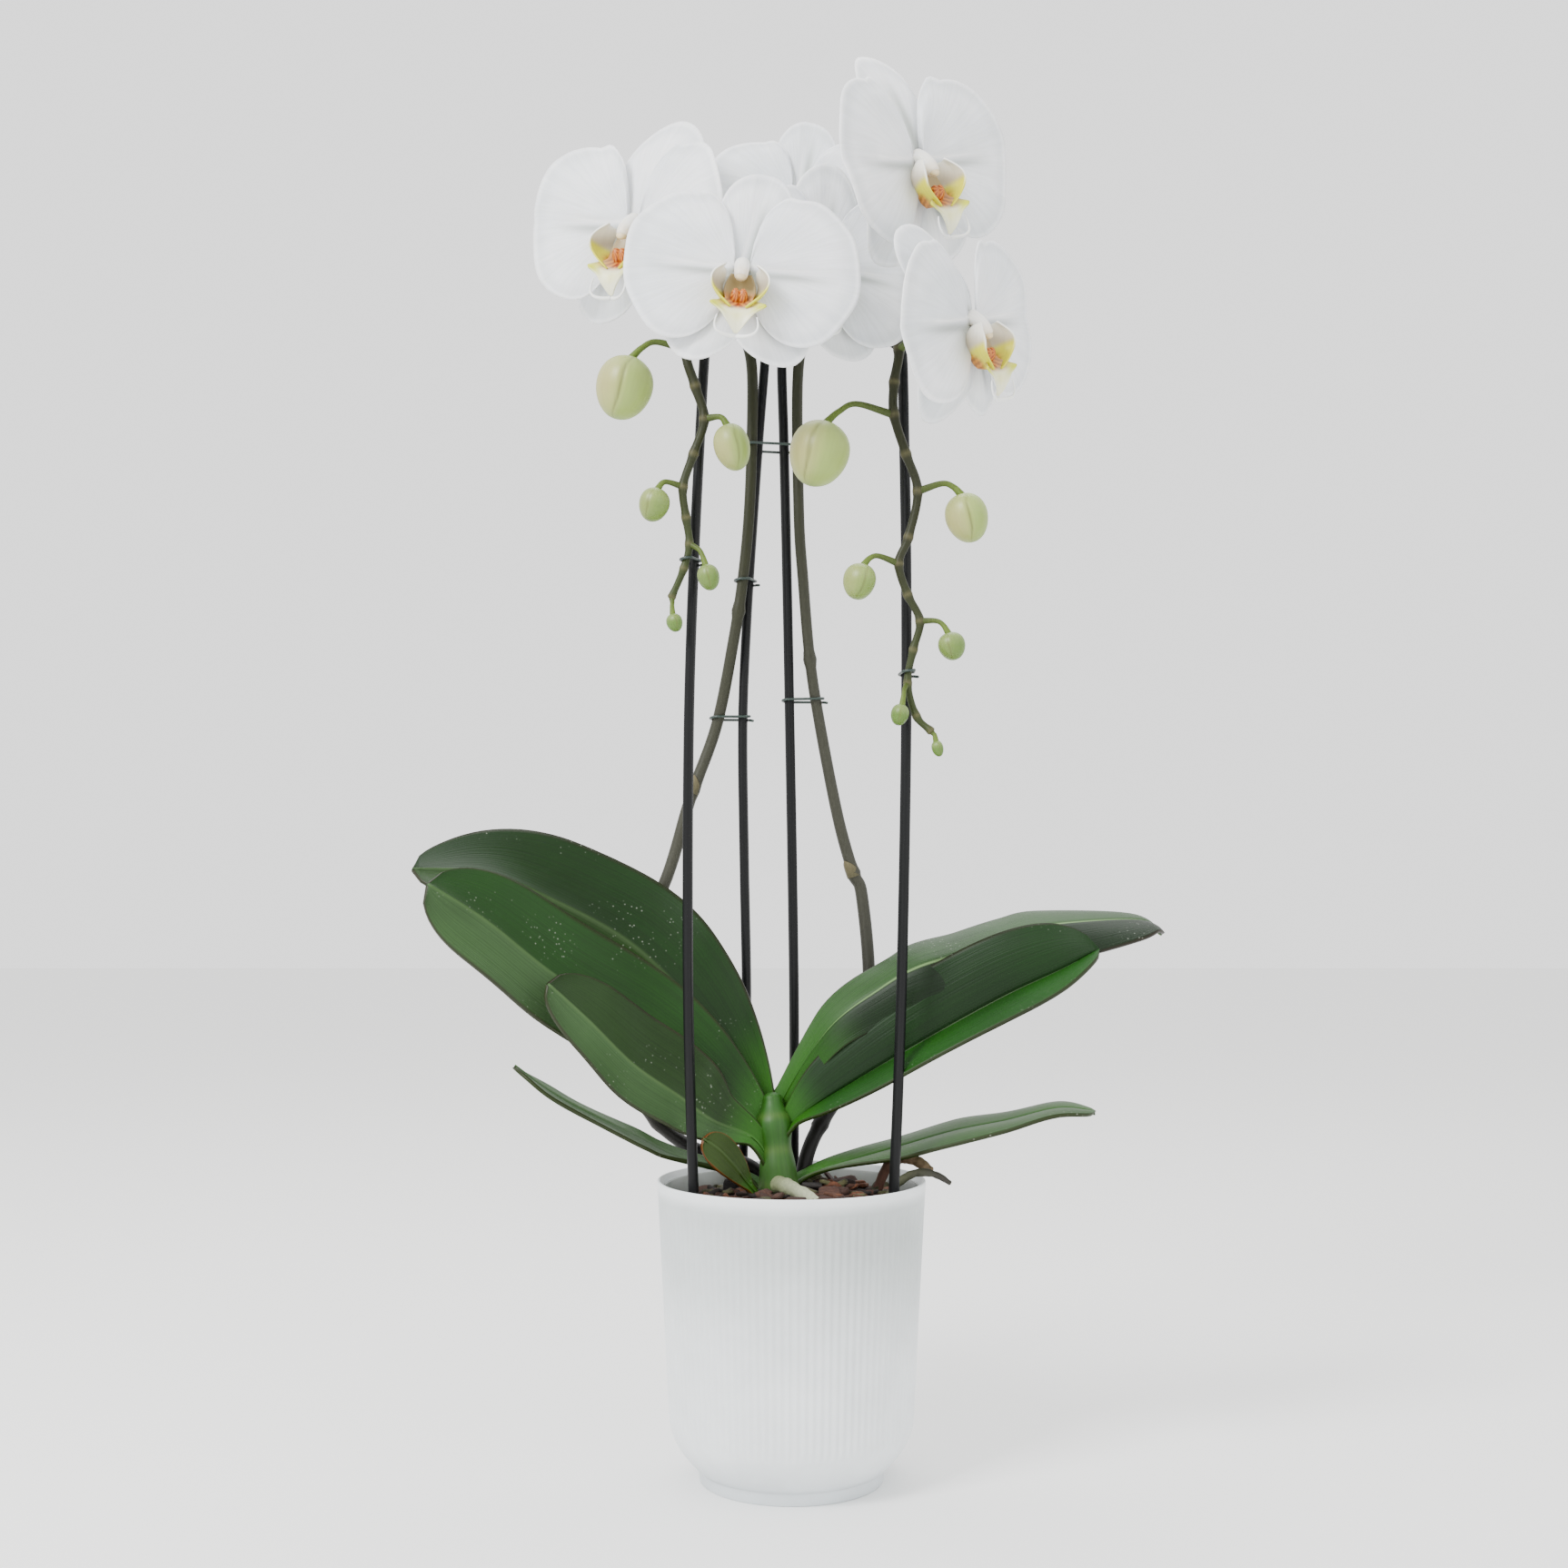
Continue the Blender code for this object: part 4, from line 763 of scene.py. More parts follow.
# A leaf: where it leaves the crown and its midrib points over the bark, the width of its far and
# near halves, the slope of each half in degrees (at the base, a third and two thirds along and
# the tip), then the colours of its far and near halves, which are lit and shaded copies of one
# green with the light and shade painted in, and the strength of the painted highlight along its midrib.
LEAVES = {
    "leaf_left_top": {
        "foot": (-10, 3, 34),
        "midrib": [(-16, 7, 48), (-33, 10, 76), (-54, 12, 101), (-80, 13, 124),
                   (-115, 9, 143), (-144, 2, 155), (-177, -8, 157)],
        "half": (36.0, 30.0), "far": (85, 74, 62, 38), "near": (-80, -80, -72, -40),
        "look": ("#0A2A02", "#26411A", 0.15)},
    "leaf_left_middle": {
        "foot": (-9, -2, 27),
        "midrib": [(-16, -1, 40), (-37, -3, 58), (-70, -3, 82), (-109, -14, 107),
                   (-140, -26, 133), (-165, -34, 150)],
        "half": (32.0, 26.0), "far": (85, 78, 68, 60), "near": (-84, -66, -56, -84),
        "look": ("#123805", "#34502A", 0.2)},
    "leaf_left_front": {
        "foot": (-9, -5, 19),
        "midrib": [(-18, -9, 33), (-36, -12, 41), (-52, -12, 52), (-73, -17, 67),
                   (-93, -27, 88), (-110, -36, 105)],
        "half": (26.0, 17.0), "far": (86, 82, 74, 66), "near": (-60, -62, -66, -78),
        "look": ("#1C3510", "#34502A", 0.25)},
    "leaf_right_top": {
        "foot": (-8, 2, 36),
        "midrib": [(-2, 4, 52), (18, -3, 83), (41, -6, 101), (58, -8, 111), (80, -8, 118),
                   (102, -6, 126), (122, -4, 131), (163, 2, 133), (175, 4, 127)],
        "half": (27.0, 24.0), "far": (60, 26, 14, 6), "near": (-80, -84, -60, -10),
        "look": ("#2B4B21", "#061E02", 1.0)},
    "leaf_right_front": {
        "foot": (-6, -1, 28),
        "midrib": [(2, -3, 40), (16, -5, 50), (42, -9, 66), (71, -13, 83), (100, -17, 99),
                   (125, -20, 111), (141, -23, 120)],
        "half": (30.0, 22.0), "far": (84, 84, 82, 78), "near": (-20, -26, -24, -24),
        "look": ("#082A03", "#134507", 0.4)},
    "leaf_left_low": {
        "foot": (-12, 0, 6),
        "midrib": [(-22, 3, 13), (-53, 3, 22), (-72, 0, 32), (-99, -6, 46), (-115, -10, 56),
                   (-128, -14, 66)],
        "half": (17.0, 17.0), "far": (30, 8, 6, 4), "near": (20, -6, -6, -4),
        "look": ("#2A580E", "#224C0A", 0.2)},
    "leaf_right_low": {
        "foot": (-2, 0, 7),
        "midrib": [(8, 2, 14), (30, 2, 21), (54, 2, 28), (77, -2, 35), (100, -6, 40),
                   (123, -10, 46), (140, -12, 45)],
        "half": (19.0, 19.0), "far": (30, 10, 8, 4), "near": (10, -14, -8, -4),
        "look": ("#2A580E", "#244E0A", 0.2)},
    "leaf_basal": {
        "foot": (-13, -13, 4),
        "midrib": [(-19, -20, 12), (-26, -24, 22), (-33, -27, 30), (-40, -28.5, 35)],
        "half": (8.0, 8.0), "far": (85, 82, 80, 78), "near": (-80, -80, -80, -78),
        "look": ("#2F4410", "#2F4410", 0.1)},
}


def leaf_width(t):
    """Half width along a leaf: a narrow foot rising as a sine, a broad middle, a round tip."""
    foot = 0.26 + 0.74 * np.sin(np.pi / 2 * np.minimum(1.0, t / 0.55)) ** 1.1
    tip = np.sqrt(np.maximum(0.0, 1 - np.maximum(0.0, (t - 0.55) / 0.45) ** 2.4))
    return np.maximum(0.012, foot * tip)


def slope_along(values, t):
    """Slopes at the base, a third, two thirds and the tip, eased from one to the next."""
    values = np.asarray(values, float)
    place = np.minimum(t * 3, 2.9999)
    low = place.astype(int)
    return np.radians(values[low] + (values[low + 1] - values[low]) * ease(0, 1, place - low))


def leaf_surface(plan, seed):
    """Points of a leaf's middle surface on a grid (t along, s across, -1 near to 1 far): the
    midrib plus each half's own sloping direction times its width times a rounded |s|. It is
    then pushed along its normal: a groove at the midrib, a gentle swell of each half and a
    slow ripple at the edges."""
    per_span = 10
    midrib = smooth_path(over_bark([plan["foot"]] + plan["midrib"]), per_span)
    t = np.clip((np.arange(len(midrib)) - per_span) / (len(midrib) - per_span - 1), 0, 1)
    t_grid = t[:, None]
    s = np.linspace(-1, 1, 33)[None]
    along = unit(np.gradient(midrib, axis=0))
    back = unit(np.cross(along, [0, 0, 1.0]))
    back *= np.where(back[:, 1:2] < 0, -1, 1)
    lift = unit(np.cross(back, along))
    lift *= np.where(lift[:, 2:] < 0, -1, 1)
    soft = 0.07
    far_share = (np.sqrt(s ** 2 + soft ** 2) + s - soft) / 2
    near_share = (np.sqrt(s ** 2 + soft ** 2) - s - soft) / 2
    points = np.repeat(midrib[:, None], s.shape[1], 1)
    for share, sign, slopes, half in ((far_share, 1, plan["far"], plan["half"][0]),
                                      (near_share, -1, plan["near"], plan["half"][1])):
        slope = slope_along(slopes, t)[:, None]
        way = back * np.cos(slope) * sign + lift * np.sin(slope)
        reach = (half * MM * leaf_width(t))[:, None] * np.maximum(share, 0)
        points = points + way[:, None] * reach[..., None]
    normal = unit(np.cross(np.gradient(points, axis=1), np.gradient(points, axis=0)))
    size = leaf_width(t_grid) * plan["half"][0] / 30
    push = (-0.5 * np.exp(-(s / 0.06) ** 2) + 1.5 * size * np.sin(np.pi * np.abs(s))
            + 0.8 * s ** 2 * size * np.sin(t_grid * 13 + seed + s * 2)) * MM
    return points - normal * push[..., None], t_grid, s


def build_leaves(surfaces):
    """Strap leaves, thickened a little, clouded, with painted light and shade on their far and near
    halves, a painted highlight along the midrib, lighter green at the foot, and dark thin edges."""
    for seed, (name, plan) in enumerate(LEAVES.items()):
        points, t, s = leaf_surface(plan, seed)
        far, near, painted_midrib_highlight = plan["look"]
        # The far and near halves take lit and shaded copies of one green: painted light and shade.
        tint = blend(shade(near), shade(far), ease(-0.02, 0.02, s + 0 * t))
        spread = lumps(points[..., 0] * 90, points[..., 1] * 90, points[..., 2] * 90, seed + 5)
        tint = blend(tint, tint * 0.72, 0.5 + 0.5 * spread)
        # Painted highlight along the midrib ridge.
        tint = blend(tint, shade("#7C9F62"), 0.75 * painted_midrib_highlight * np.exp(-(s / 0.03) ** 2) + 0 * t)
        tint = blend(tint, shade("#2F6A10"), 0.6 * (1 - ease(0.0, 0.2, t + 0 * s)))
        edge = "#6A3412" if name == "leaf_basal" else "#241A10"
        tint = blend(tint, shade(edge), 0.7 * ease(0.97, 1.0, np.abs(s) + 0 * t))
        piece(name + "_blade", [patch(points, tint=tint)], surfaces["leaf"], [name],
              thickness=LEAF_THICKNESS)


# ------------------------------------------------------------------ spikes

# A spike: free points over the bark (x, y, height), then points tied to its hoop, each
# (leg, height, x, y) with the offset from the leg's middle, in millimetres.
SPIKES = {
    "left": {
        "free": [(-10, 9, 8), (-20, 13, 17), (-36, 17, 21), (-50, 20, 26), (-64, 26, 36),
                 (-76, 31, 52), (-85, 34, 76), (-79, 36, 112)],
        "tied": [("back", 154, -38, 0), ("back", 192, -26, 0), ("back", 228, -13, 0),
                 ("back", 268, -6, -6), ("back", 299, -3, -8), ("back", 330, -2, -8.5),
                 ("back", 366, -3, -8), ("back", 405, -6, -5)],
        "over": [(-7, 0, 1), (-5, 0, 6), (-3, -5, 7)],
        "front": [("front", 393, -8, -8), ("front", 376, -3, -9), ("front", 361, 2, -9),
                  ("front", 345, -2, -9), ("front", 330, -6, -9), ("front", 316, -4, -8.5),
                  ("front", 304, -2, -8.5), ("front", 293, -4, -8.5), ("front", 280, -9, -8)],
        "bracts": [36, 198, 284],
    },
    "right": {
        "free": [(4, 9, 8), (8, 13, 24), (14, 19, 36), (24, 27, 51), (33, 33, 73), (38, 37, 103)],
        "tied": [("back", 145, 34, 3), ("back", 156, 30, 3), ("back", 183, 23, 2),
                 ("back", 228, 15, 0), ("back", 261, 10.5, -3), ("back", 299, 8, -5),
                 ("back", 335, 6.5, -7), ("back", 405, 8, -4)],
        "over": [(7, 0, 1), (6, 0, 6), (3, -5, 7)],
        "front": [("front", 393, -2, -8.5), ("front", 378, -4.5, -9), ("front", 363, -5, -9.5),
                  ("front", 345, 0, -10), ("front", 328, 5, -10), ("front", 307, 0.5, -10),
                  ("front", 295, -4, -10), ("front", 281, 0, -9.5), ("front", 269, 5.5, -9.5),
                  ("front", 256, 2.5, -9), ("front", 241, 0, -8.5), ("front", 226, 4, -9),
                  ("front", 219, 10.5, -11)],
        "bracts": [36, 156, 261],
    },
}

# A bud: its spike, where its stalk leaves the spike (0 starts the front run),
# its middle from that point (x, y, z), width and length, all in millimetres.
BUDS = {
    "bud_left_1": ("left", 0, (-28, -5, -19), 26.0, 29.0),
    "bud_left_2": ("left", 2, (13, -4, -14), 16.5, 21.5),
    "bud_left_3": ("left", 4, (-13, -4, -9), 14.0, 15.5),
    "bud_left_4": ("left", 6, (9, -5, -16), 10.0, 12.0),
    "bud_left_5": ("left", 8, (1.5, -2, -12), 7.4, 8.4),
    "bud_right_1": ("right", 2, (-34.5, -5, -19), 27.5, 30.0),
    "bud_right_2": ("right", 4, (22, -4, -13), 19.5, 22.5),
    "bud_right_3": ("right", 6, (-18, -5, -9), 15.0, 16.5),
    "bud_right_4": ("right", 8, (14, -4, -12), 12.4, 12.8),
    "bud_right_5": ("right", 10, (-4, -6, -15), 8.2, 9.8),
    "bud_right_6": ("right", 12, (3, -1, -8), 5.4, 7.4),
}

# A flower: its spike, where its stalk leaves (below 0 is back over the arch), its middle over
# the bark, yaw, pitch and roll in degrees, cup of its petals in degrees, how far its sepals
# curve back (per metre), its scale and how far its stalk bows up, in millimetres.
FLOWERS = {
    "flower_1": ("left", -1, (-73, -36, 454), (-32, 0, 10), 12, 5.0, 1.07, 3),
    "flower_2": ("left", 0, (-21.5, -94, 414), (2, -6, 5), 2, 2.0, 1.0, -8),
    "flower_3": ("right", -1, (57, -60, 474.5), (42, -2, -16), 10, 6.0, 1.08, 3),
    "flower_4": ("right", 0, (79, -78, 396), (52, 2, -16), 1, 5.0, 1.02, 3),
    "flower_5": ("right", -1, (13.4, -60, 427), (18, 0, 7), 3, 1.0, 0.98, 3),
    "flower_6": ("left", -2, (3, -22, 473), (-6, -16, 6), 0, 1.0, 0.9, 3),
}

# A spike's radius at its foot and its tip in millimetres, and the share of its foot's radius that
# is left where it has been tied and where its front run starts.
SPIKE_RADIUS = 3.6
SPIKE_TIP_RADIUS = 1.5
TIED_SHARE = 0.75
FRONT_SHARE = 0.62
STALK_RADIUS = 1.4 * MM


def spike_plan(side):
    """A spike's own points, its smooth path with radius, and where its front run starts."""
    plan = SPIKES[side]
    tied = [leg_points(side, leg, [height]) + np.array([x, y, 0]) * MM
            for leg, height, x, y in plan["tied"] + plan["front"]]
    climb = len(plan["tied"])
    over = arch_points(side)[1::2] + np.array(plan["over"]) * MM
    points = np.vstack([over_bark(plan["free"])] + tied[:climb] + [over] + tied[climb:])
    index = np.arange(len(points))
    thinned = len(plan["free"]) + 4
    front = len(points) - len(plan["front"])
    rise = SPIKE_RADIUS * (1 - (1 - TIED_SHARE) * np.minimum(index / thinned, 1))
    share = (index - front) / (len(points) - 1 - front)
    fall = FRONT_SHARE * SPIKE_RADIUS * (1 - share) + SPIKE_TIP_RADIUS * share
    radius = np.where(index < front, rise, fall) * MM
    return points, smooth_path(np.column_stack([points, radius]), 8), front


SPIKE_PLANS = {side: spike_plan(side) for side in SPIKES}
SPIKE_POINTS = {side: plan[0] for side, plan in SPIKE_PLANS.items()}
SPIKE_PATHS = {side: plan[1] for side, plan in SPIKE_PLANS.items()}
SPIKE_FRONT = {side: plan[2] for side, plan in SPIKE_PLANS.items()}


def spike_joint(side, index):
    """The spike's point where a stalk leaves."""
    return SPIKE_POINTS[side][SPIKE_FRONT[side] + index]


def bud_frame(name):
    """The start of a bud's stalk, the bud's middle, its axis from stalk to tip, its width and
    its length."""
    side, index, offset, width, length = BUDS[name]
    start = spike_joint(side, index)
    middle = start + np.array(offset) * MM
    axis = unit(np.array([0.25 if offset[0] > 0 else -0.25, 0.0, -1.0]))
    return start, middle, axis, width * MM, length * MM


def bud_stalk(name):
    """The stalk from the spike over to the top of a bud, with its radius."""
    start, middle, axis, _, length = bud_frame(name)
    top = middle - axis * (length / 2 - 0.4 * MM)
    over = start * 0.45 + top * 0.55
    over[2] += 0.22 * np.linalg.norm(top - start)
    thin = STALK_RADIUS * (0.6 + 0.4 * min(1.0, length / (22 * MM)))
    near = top - axis * 1.5 * MM
    bend = over * 0.4 + near * 0.6
    bend[2] += 0.8 * MM
    rows = np.vstack([start, over, bend, top])
    return np.column_stack([rows, [thin * 1.35, thin, thin, thin * 1.3]])


def flower_matrix(name):
    """Turn and place of a flower: +Z of its own frame is its facing, +Y its dorsal sepal."""
    middle, (yaw, pitch, roll) = FLOWERS[name][2:4]
    base = Matrix(((1, 0, 0), (0, 0, -1), (0, 1, 0)))
    turn = Matrix.Rotation(math.radians(yaw), 3, "Z") @ Matrix.Rotation(math.radians(pitch), 3, "X")
    spin = Matrix.Rotation(math.radians(roll), 3, "Y")
    return np.array(turn @ spin @ base), over_bark([middle])[0]


def placed(name, local):
    """Points of a flower's own frame in millimetres put where the flower is."""
    turn, middle = flower_matrix(name)
    return np.asarray(local) * MM @ turn.T + middle


def flower_stalk(name):
    """The stalk from the spike round to the back of a flower, with its radius."""
    side, where = FLOWERS[name][:2]
    start = spike_joint(side, where)
    behind, back = placed(name, [(0, 0, -2.6), (0, 0, -11.4)])
    half = (start + back) / 2 + np.array([0, 0, FLOWERS[name][7]]) * MM
    wide = STALK_RADIUS * 1.15
    return np.column_stack([np.vstack([start, half, back, behind]), [wide * 1.3, wide, wide, wide * 1.5]])


def bract(side, height, turn):
    """A scale round the spike at a node: a crescent section, whose outer arc is a little wider
    than the spike and whose inner arc lies on it, carried up and closing to a point."""
    path = SPIKE_PATHS[side]
    top = int(np.argmax(path[:, 2]))
    level = BARK_TOP + height * MM
    at = int(np.argmin(np.abs(path[:top, 2] - level)))
    centre, radius = path[at, :3], path[at, 3]
    way = unit(path[at + 2, :3] - path[at - 2, :3])
    n = unit(np.cross(way, [0, 1.0, 0.3]))
    b = np.cross(way, n)
    s = np.linspace(0, 1, 12)[:, None]
    k = np.linspace(0, 1, 24, endpoint=False)[None]
    swing = np.where(k < 0.5, 4 * k - 1, 3 - 4 * k)
    opening = 2.0 * (1 - s ** 1.6) + 0.05
    a = turn + swing * opening
    thick = np.where(k < 0.5, 1.0, 0.2) * 0.9 * MM * (1 - 0.6 * s) * np.cos(swing * np.pi / 2)
    r = radius * 1.02 + thick + 0.7 * MM * s ** 1.5 * (swing ** 2 < 2)
    spot = centre + way * (s * 9 - 2)[..., None] * MM
    points = spot + (r * np.cos(a))[..., None] * n + (r * np.sin(a))[..., None] * b
    tint = blend(shade("#45422C"), shade("#625A40"), s + 0 * k)
    return patch(points, wrap=True, tint=tint, flip=True)


def build_spikes(surfaces):
    """Each spike: its stem, swollen at its nodes, with bracts and the stalks grown on."""
    for side in SPIKES:
        path = SPIKE_PATHS[side]
        t = np.linspace(0, 1, len(path))
        radius = path[:, 3].copy()
        top = int(np.argmax(path[:, 2]))
        for height in SPIKES[side]["bracts"]:
            gap = (path[:, 2] - BARK_TOP) / MM - height
            radius += 0.75 * MM * np.exp(-(gap / 2.2) ** 2) * (np.arange(len(path)) < top)
        joints = SPIKE_POINTS[side][SPIKE_FRONT[side]:]
        near = np.linalg.norm(path[:, None, :3] - joints[None], axis=-1).min(1)
        radius += 0.5 * MM * np.exp(-(near / (2.0 * MM)) ** 2)
        tint = blend(shade("#090604"), shade("#34342A"), ease(0.10, 0.24, t))
        tint = blend(tint, shade("#22240F"), ease(0.3, 0.5, t))
        tint = blend(tint, shade("#2E3815"), ease(0.75, 1.0, t))
        tint = blend(tint, shade("#6A6444"), 0.4 * np.exp(-(near / (1.1 * MM)) ** 2))
        parts = [tube(path[:, :3], radius, 20, tint)]
        for count, height in enumerate(SPIKES[side]["bracts"]):
            parts.append(bract(side, height, -1.4 + 2.4 * (count % 2)))
        stalks = [(bud_stalk(name), "#38421A", "#5C7028") for name in BUDS if BUDS[name][0] == side]
        stalks += [(flower_stalk(name), "#3C481E", "#869660") for name in FLOWERS
                   if FLOWERS[name][0] == side]
        for rows, base, tip in stalks:
            run = smooth_path(rows, 10)
            share = np.linspace(0, 1, len(run))
            parts.append(tube(run[:, :3], run[:, 3], 12, blend(shade(base), shade(tip), share)))
        piece("flower_spike_stem_" + side, parts, surfaces["spike"], ["flower_spike_" + side])


# ------------------------------------------------------------------ buds

def build_buds(surfaces):
    """Buds: an egg, radius w/2 sin h (1 + 0.11 cos h), whose three sepals meet in grooves that
    curve from the stalk to the tip."""
    for seed, name in enumerate(BUDS):
        _, middle, axis, width, length = bud_frame(name)
        sides = 72
        h = np.linspace(0, np.pi, 41)[:, None]
        w = (np.arange(sides) / sides * TURN)[None]
        turn = 1.57 + 0.35 * math.sin(seed * 2.1)
        seam = w - turn - 0.55 * np.cos(h) + 0.30 * np.sin(2 * h)
        off = np.abs((seam * 3 / TURN + 0.5) % 1 - 0.5) * TURN / 3
        groove = np.exp(-(off / 0.06) ** 2) * np.sin(h) ** 0.5
        radius = width / 2 * np.sin(h) ** 0.92 * (1 + 0.11 * np.cos(h)) * (1 - 0.045 * groove)
        radius = radius * (1 + 0.03 * np.cos(off * 3)) / 1.02
        up = -axis
        n = unit(np.cross(up, [0, 1.0, 0]))
        b = np.cross(up, n)
        points = (middle + (length / 2 * np.cos(h))[..., None] * up
                  + (radius * np.cos(w))[..., None] * n + (radius * np.sin(w))[..., None] * b)
        large, least = 26, 9
        small = ease(large, least, length / MM) if length < large * MM else 0.0
        body = blend(shade("#8FA34E"), shade("#4F6E1C"), small)
        tip = blend(shade("#7A9038"), shade("#3F5C14"), small)
        tint = blend(tip, body, ease(0.0, 0.5, np.sin(h) + 0 * w))
        blush = (1 - small) * ease(0.1, 1.0, np.cos(w - 0.5)) * np.sin(h)
        tint = blend(tint, shade("#AD9A6E"), 0.6 * blush)
        tint = blend(tint, shade("#56591F"), 0.75 * groove)
        tint = blend(tint, shade("#B9C283"), 0.3 * ease(-0.2, 1.0, np.cos(h) + 0 * w) * np.sin(h))
        piece(name + "_closed", [patch(points, wrap=True, tint=tint, flip=True)],
              surfaces["bud"], [name])


# ------------------------------------------------------------------ flowers

SEPAL_SPREAD = math.radians(34)

# Lobes of a flower in millimetres at scale one: length, width, how far each stands behind the
# petals, the depth of its crease, how far out it starts, and how much it is raised at its upper
# inner corner.
SEPAL = {"length": 49, "width": 34, "setback": 2.4, "crease": 0.5, "base": 0.0, "raised": 1.0}
LOWER_SEPAL = SEPAL | {"length": 46.5}
PETAL = {"length": 47.6, "width": 67, "setback": 0.0, "crease": 1.3, "base": 3.4, "raised": 1.26}

# Dorsal sepals that stand out of line: how far each leans to the left in degrees, and its width.
DORSALS = {"flower_1": (-15.0, 43.0), "flower_2": (-9.0, 33.0), "flower_4": (34.0, 30.0)}


def lobe(name, shape, heading, reflex, seed, lean=0.0):
    """One petal or sepal on a grid (ring v from the middle out, ray a across): its edge in polar
    form is the ellipse through the middle, 2 l w w cos a / (w w cos a cos a + l l sin a sin a),
    with l and w its half length and half width, pushed out where it is raised. It stands forward
    by its cup and falls back by reflex r r, with a crease down its middle, a soft swell of each
    half and an uneven edge."""
    cup, _, scale, _ = FLOWERS[name][4:]
    length, width, base = shape["length"], shape["width"], shape["base"]
    rays, rings = 57, 30
    a = np.linspace(-1, 1, rays)[None] * (np.pi / 2 - 0.03)
    v = np.linspace(0.0, 1, rings)[:, None] ** 0.9
    l, w = length / 2, width / 2
    reach = 2 * l * w * w * np.cos(a) / ((w * np.cos(a)) ** 2 + (l * np.sin(a)) ** 2)
    up = np.arcsin(np.sin(a + heading))
    corner = ease(1.02, 1.27, up) + 0.8 * ease(1.25, 1.42, up)
    reach = reach * (1 + (shape["raised"] - 1) * corner)
    wave = 1 + 0.012 * np.sin(5 * a + seed) + 0.008 * np.sin(11 * a + 2 * seed)
    r = np.maximum(reach * wave * v, 0.0) * scale
    x = r * np.cos(a + heading + lean) + base * scale * np.cos(heading)
    y = r * np.sin(a + heading + lean) + base * scale * np.sin(heading)
    along, across = r * np.cos(a), r * np.sin(a)
    size = length * scale
    z = np.tan(np.radians(cup)) * (np.hypot(x, 5) - 5)
    z = z - reflex * np.hypot(x, y) ** 2 / 1000 - shape["setback"]
    fold = np.exp(-(across / (0.035 * size + 0.03 * along)) ** 2)
    z = z - shape["crease"] * fold * ease(0, 0.2, v) * (1 - ease(0.55, 0.95, v))
    half = np.abs(across / (0.5 * width * scale))
    z = z + 0.035 * width * (half * (1 - half) * 2.2) * ease(0.1, 0.6, v)
    z = z - 0.03 * size * ease(0.72, 1.0, v) * (0.7 + 0.5 * np.sin(3 * a + seed * 1.7))
    z = z + 0.012 * size * np.sin(7 * a + seed) * v ** 3
    z = z + 0.16 * lumps(a * 30 + 0 * v, v * 4 + 0 * a, 0 * r + seed, seed) * ease(0.15, 0.7, v)
    z = z + 0.45 * lumps(x / 9, y / 9, 0 * r + seed, seed + 40) * ease(0.1, 0.6, v)
    points = placed(name, np.stack([x, y, z], -1))
    uv = np.stack([np.broadcast_to(np.linspace(0, 1, rays), r.shape), np.broadcast_to(v, r.shape)], -1)
    return patch(points, tint=lobe_tint(a, v, x, y, across, heading, size, seed), uv=uv)


def lobe_tint(a, v, x, y, across, heading, size, seed):
    """Colours of a lobe: white with cool clouds, a painted khaki shadow low down near the middle, a
    painted grey shade band and a painted highlight line beside the crease, and a painted highlight
    round the rim with a painted cool shadow band inside it."""
    white, cool, painted_shadow_khaki = shade("#F3F4F6"), shade("#DDE2E6"), shade("#B8BA9C")
    tint = blend(white, cool, 0.5 + 0.5 * lumps(x / 9, y / 9, 0 * x, seed))
    # Painted shadow: khaki shade on the low inner part of the lobe, near the middle.
    low = ease(0.1, 1.0, -np.sin(a + heading) * (1 - v)) * (1 - ease(0.25, 0.7, v))
    tint = blend(tint, painted_shadow_khaki, 0.75 * low)
    # Painted shade and highlight: a grey band along the crease and a white line beside it.
    side = across * np.sign(np.cos(heading) + 1e-3) + 0.055 * size
    band = np.exp(-(side / (0.045 * size)) ** 2) * (1 - ease(0.35, 0.95, v))
    tint = blend(tint, shade("#8F958F"), 0.75 * band)
    line = np.exp(-((side - 0.075 * size) / (0.018 * size)) ** 2) * (1 - ease(0.4, 0.9, v))
    tint = blend(tint, shade("#FFFFFF"), 0.9 * line)
    # Painted shadow band just inside the edge, then a painted highlight on the rim.
    inside = ease(0.80, 0.93, v) * (1 - ease(0.94, 0.97, v))
    tint = blend(tint, cool * 0.8, 0.42 * inside + 0 * a)
    return blend(tint, shade("#FFFFFF"), 0.5 * ease(0.955, 0.99, v) + 0 * a)


def knob(middle, radius, rows, columns, shear=0.0):
    """A round body in a flower's own frame: x, y and z are its radii times sin h cos w,
    sin h sin w and cos h, and it leans along y by shear cos h."""
    h = np.linspace(0, np.pi, rows)[:, None]
    w = (np.arange(columns) / columns * TURN)[None]
    body = np.stack([middle[0] + radius[0] * np.sin(h) * np.cos(w),
                     middle[1] + radius[1] * np.sin(h) * np.sin(w) + shear * np.cos(h),
                     middle[2] + radius[2] * np.cos(h) + 0 * w], -1)
    return body, h, w


def build_column(name, surfaces):
    """The column: a short thick stem that leans forward and down, with a round anther cap."""
    spine = [(0, 1.6, -0.6, 3.4), (0, -0.6, 2.4, 3.3), (0, -3.6, 4.8, 3.2), (0, -6.2, 6.2, 2.8)]
    path = smooth_path(spine, 8)
    scale = FLOWERS[name][6]
    t = np.linspace(0, 1, len(path))
    tint = blend(shade("#F3F1EA"), shade("#EDE3D2"), ease(0.5, 1.0, t))
    stem = tube(placed(name, path[:, :3] * scale), path[:, 3] * scale * MM, 24, tint)
    cap, _, _ = knob((0, -6.9, 6.6), (2.4, 1.9, 2.1), 15, 24, shear=-0.5)
    anther = patch(placed(name, cap * scale), wrap=True, tint=shade("#DCC9A2"), flip=True)
    piece(name + "_column_capped", [stem, anther], surfaces["lip"], [name + "_column"])


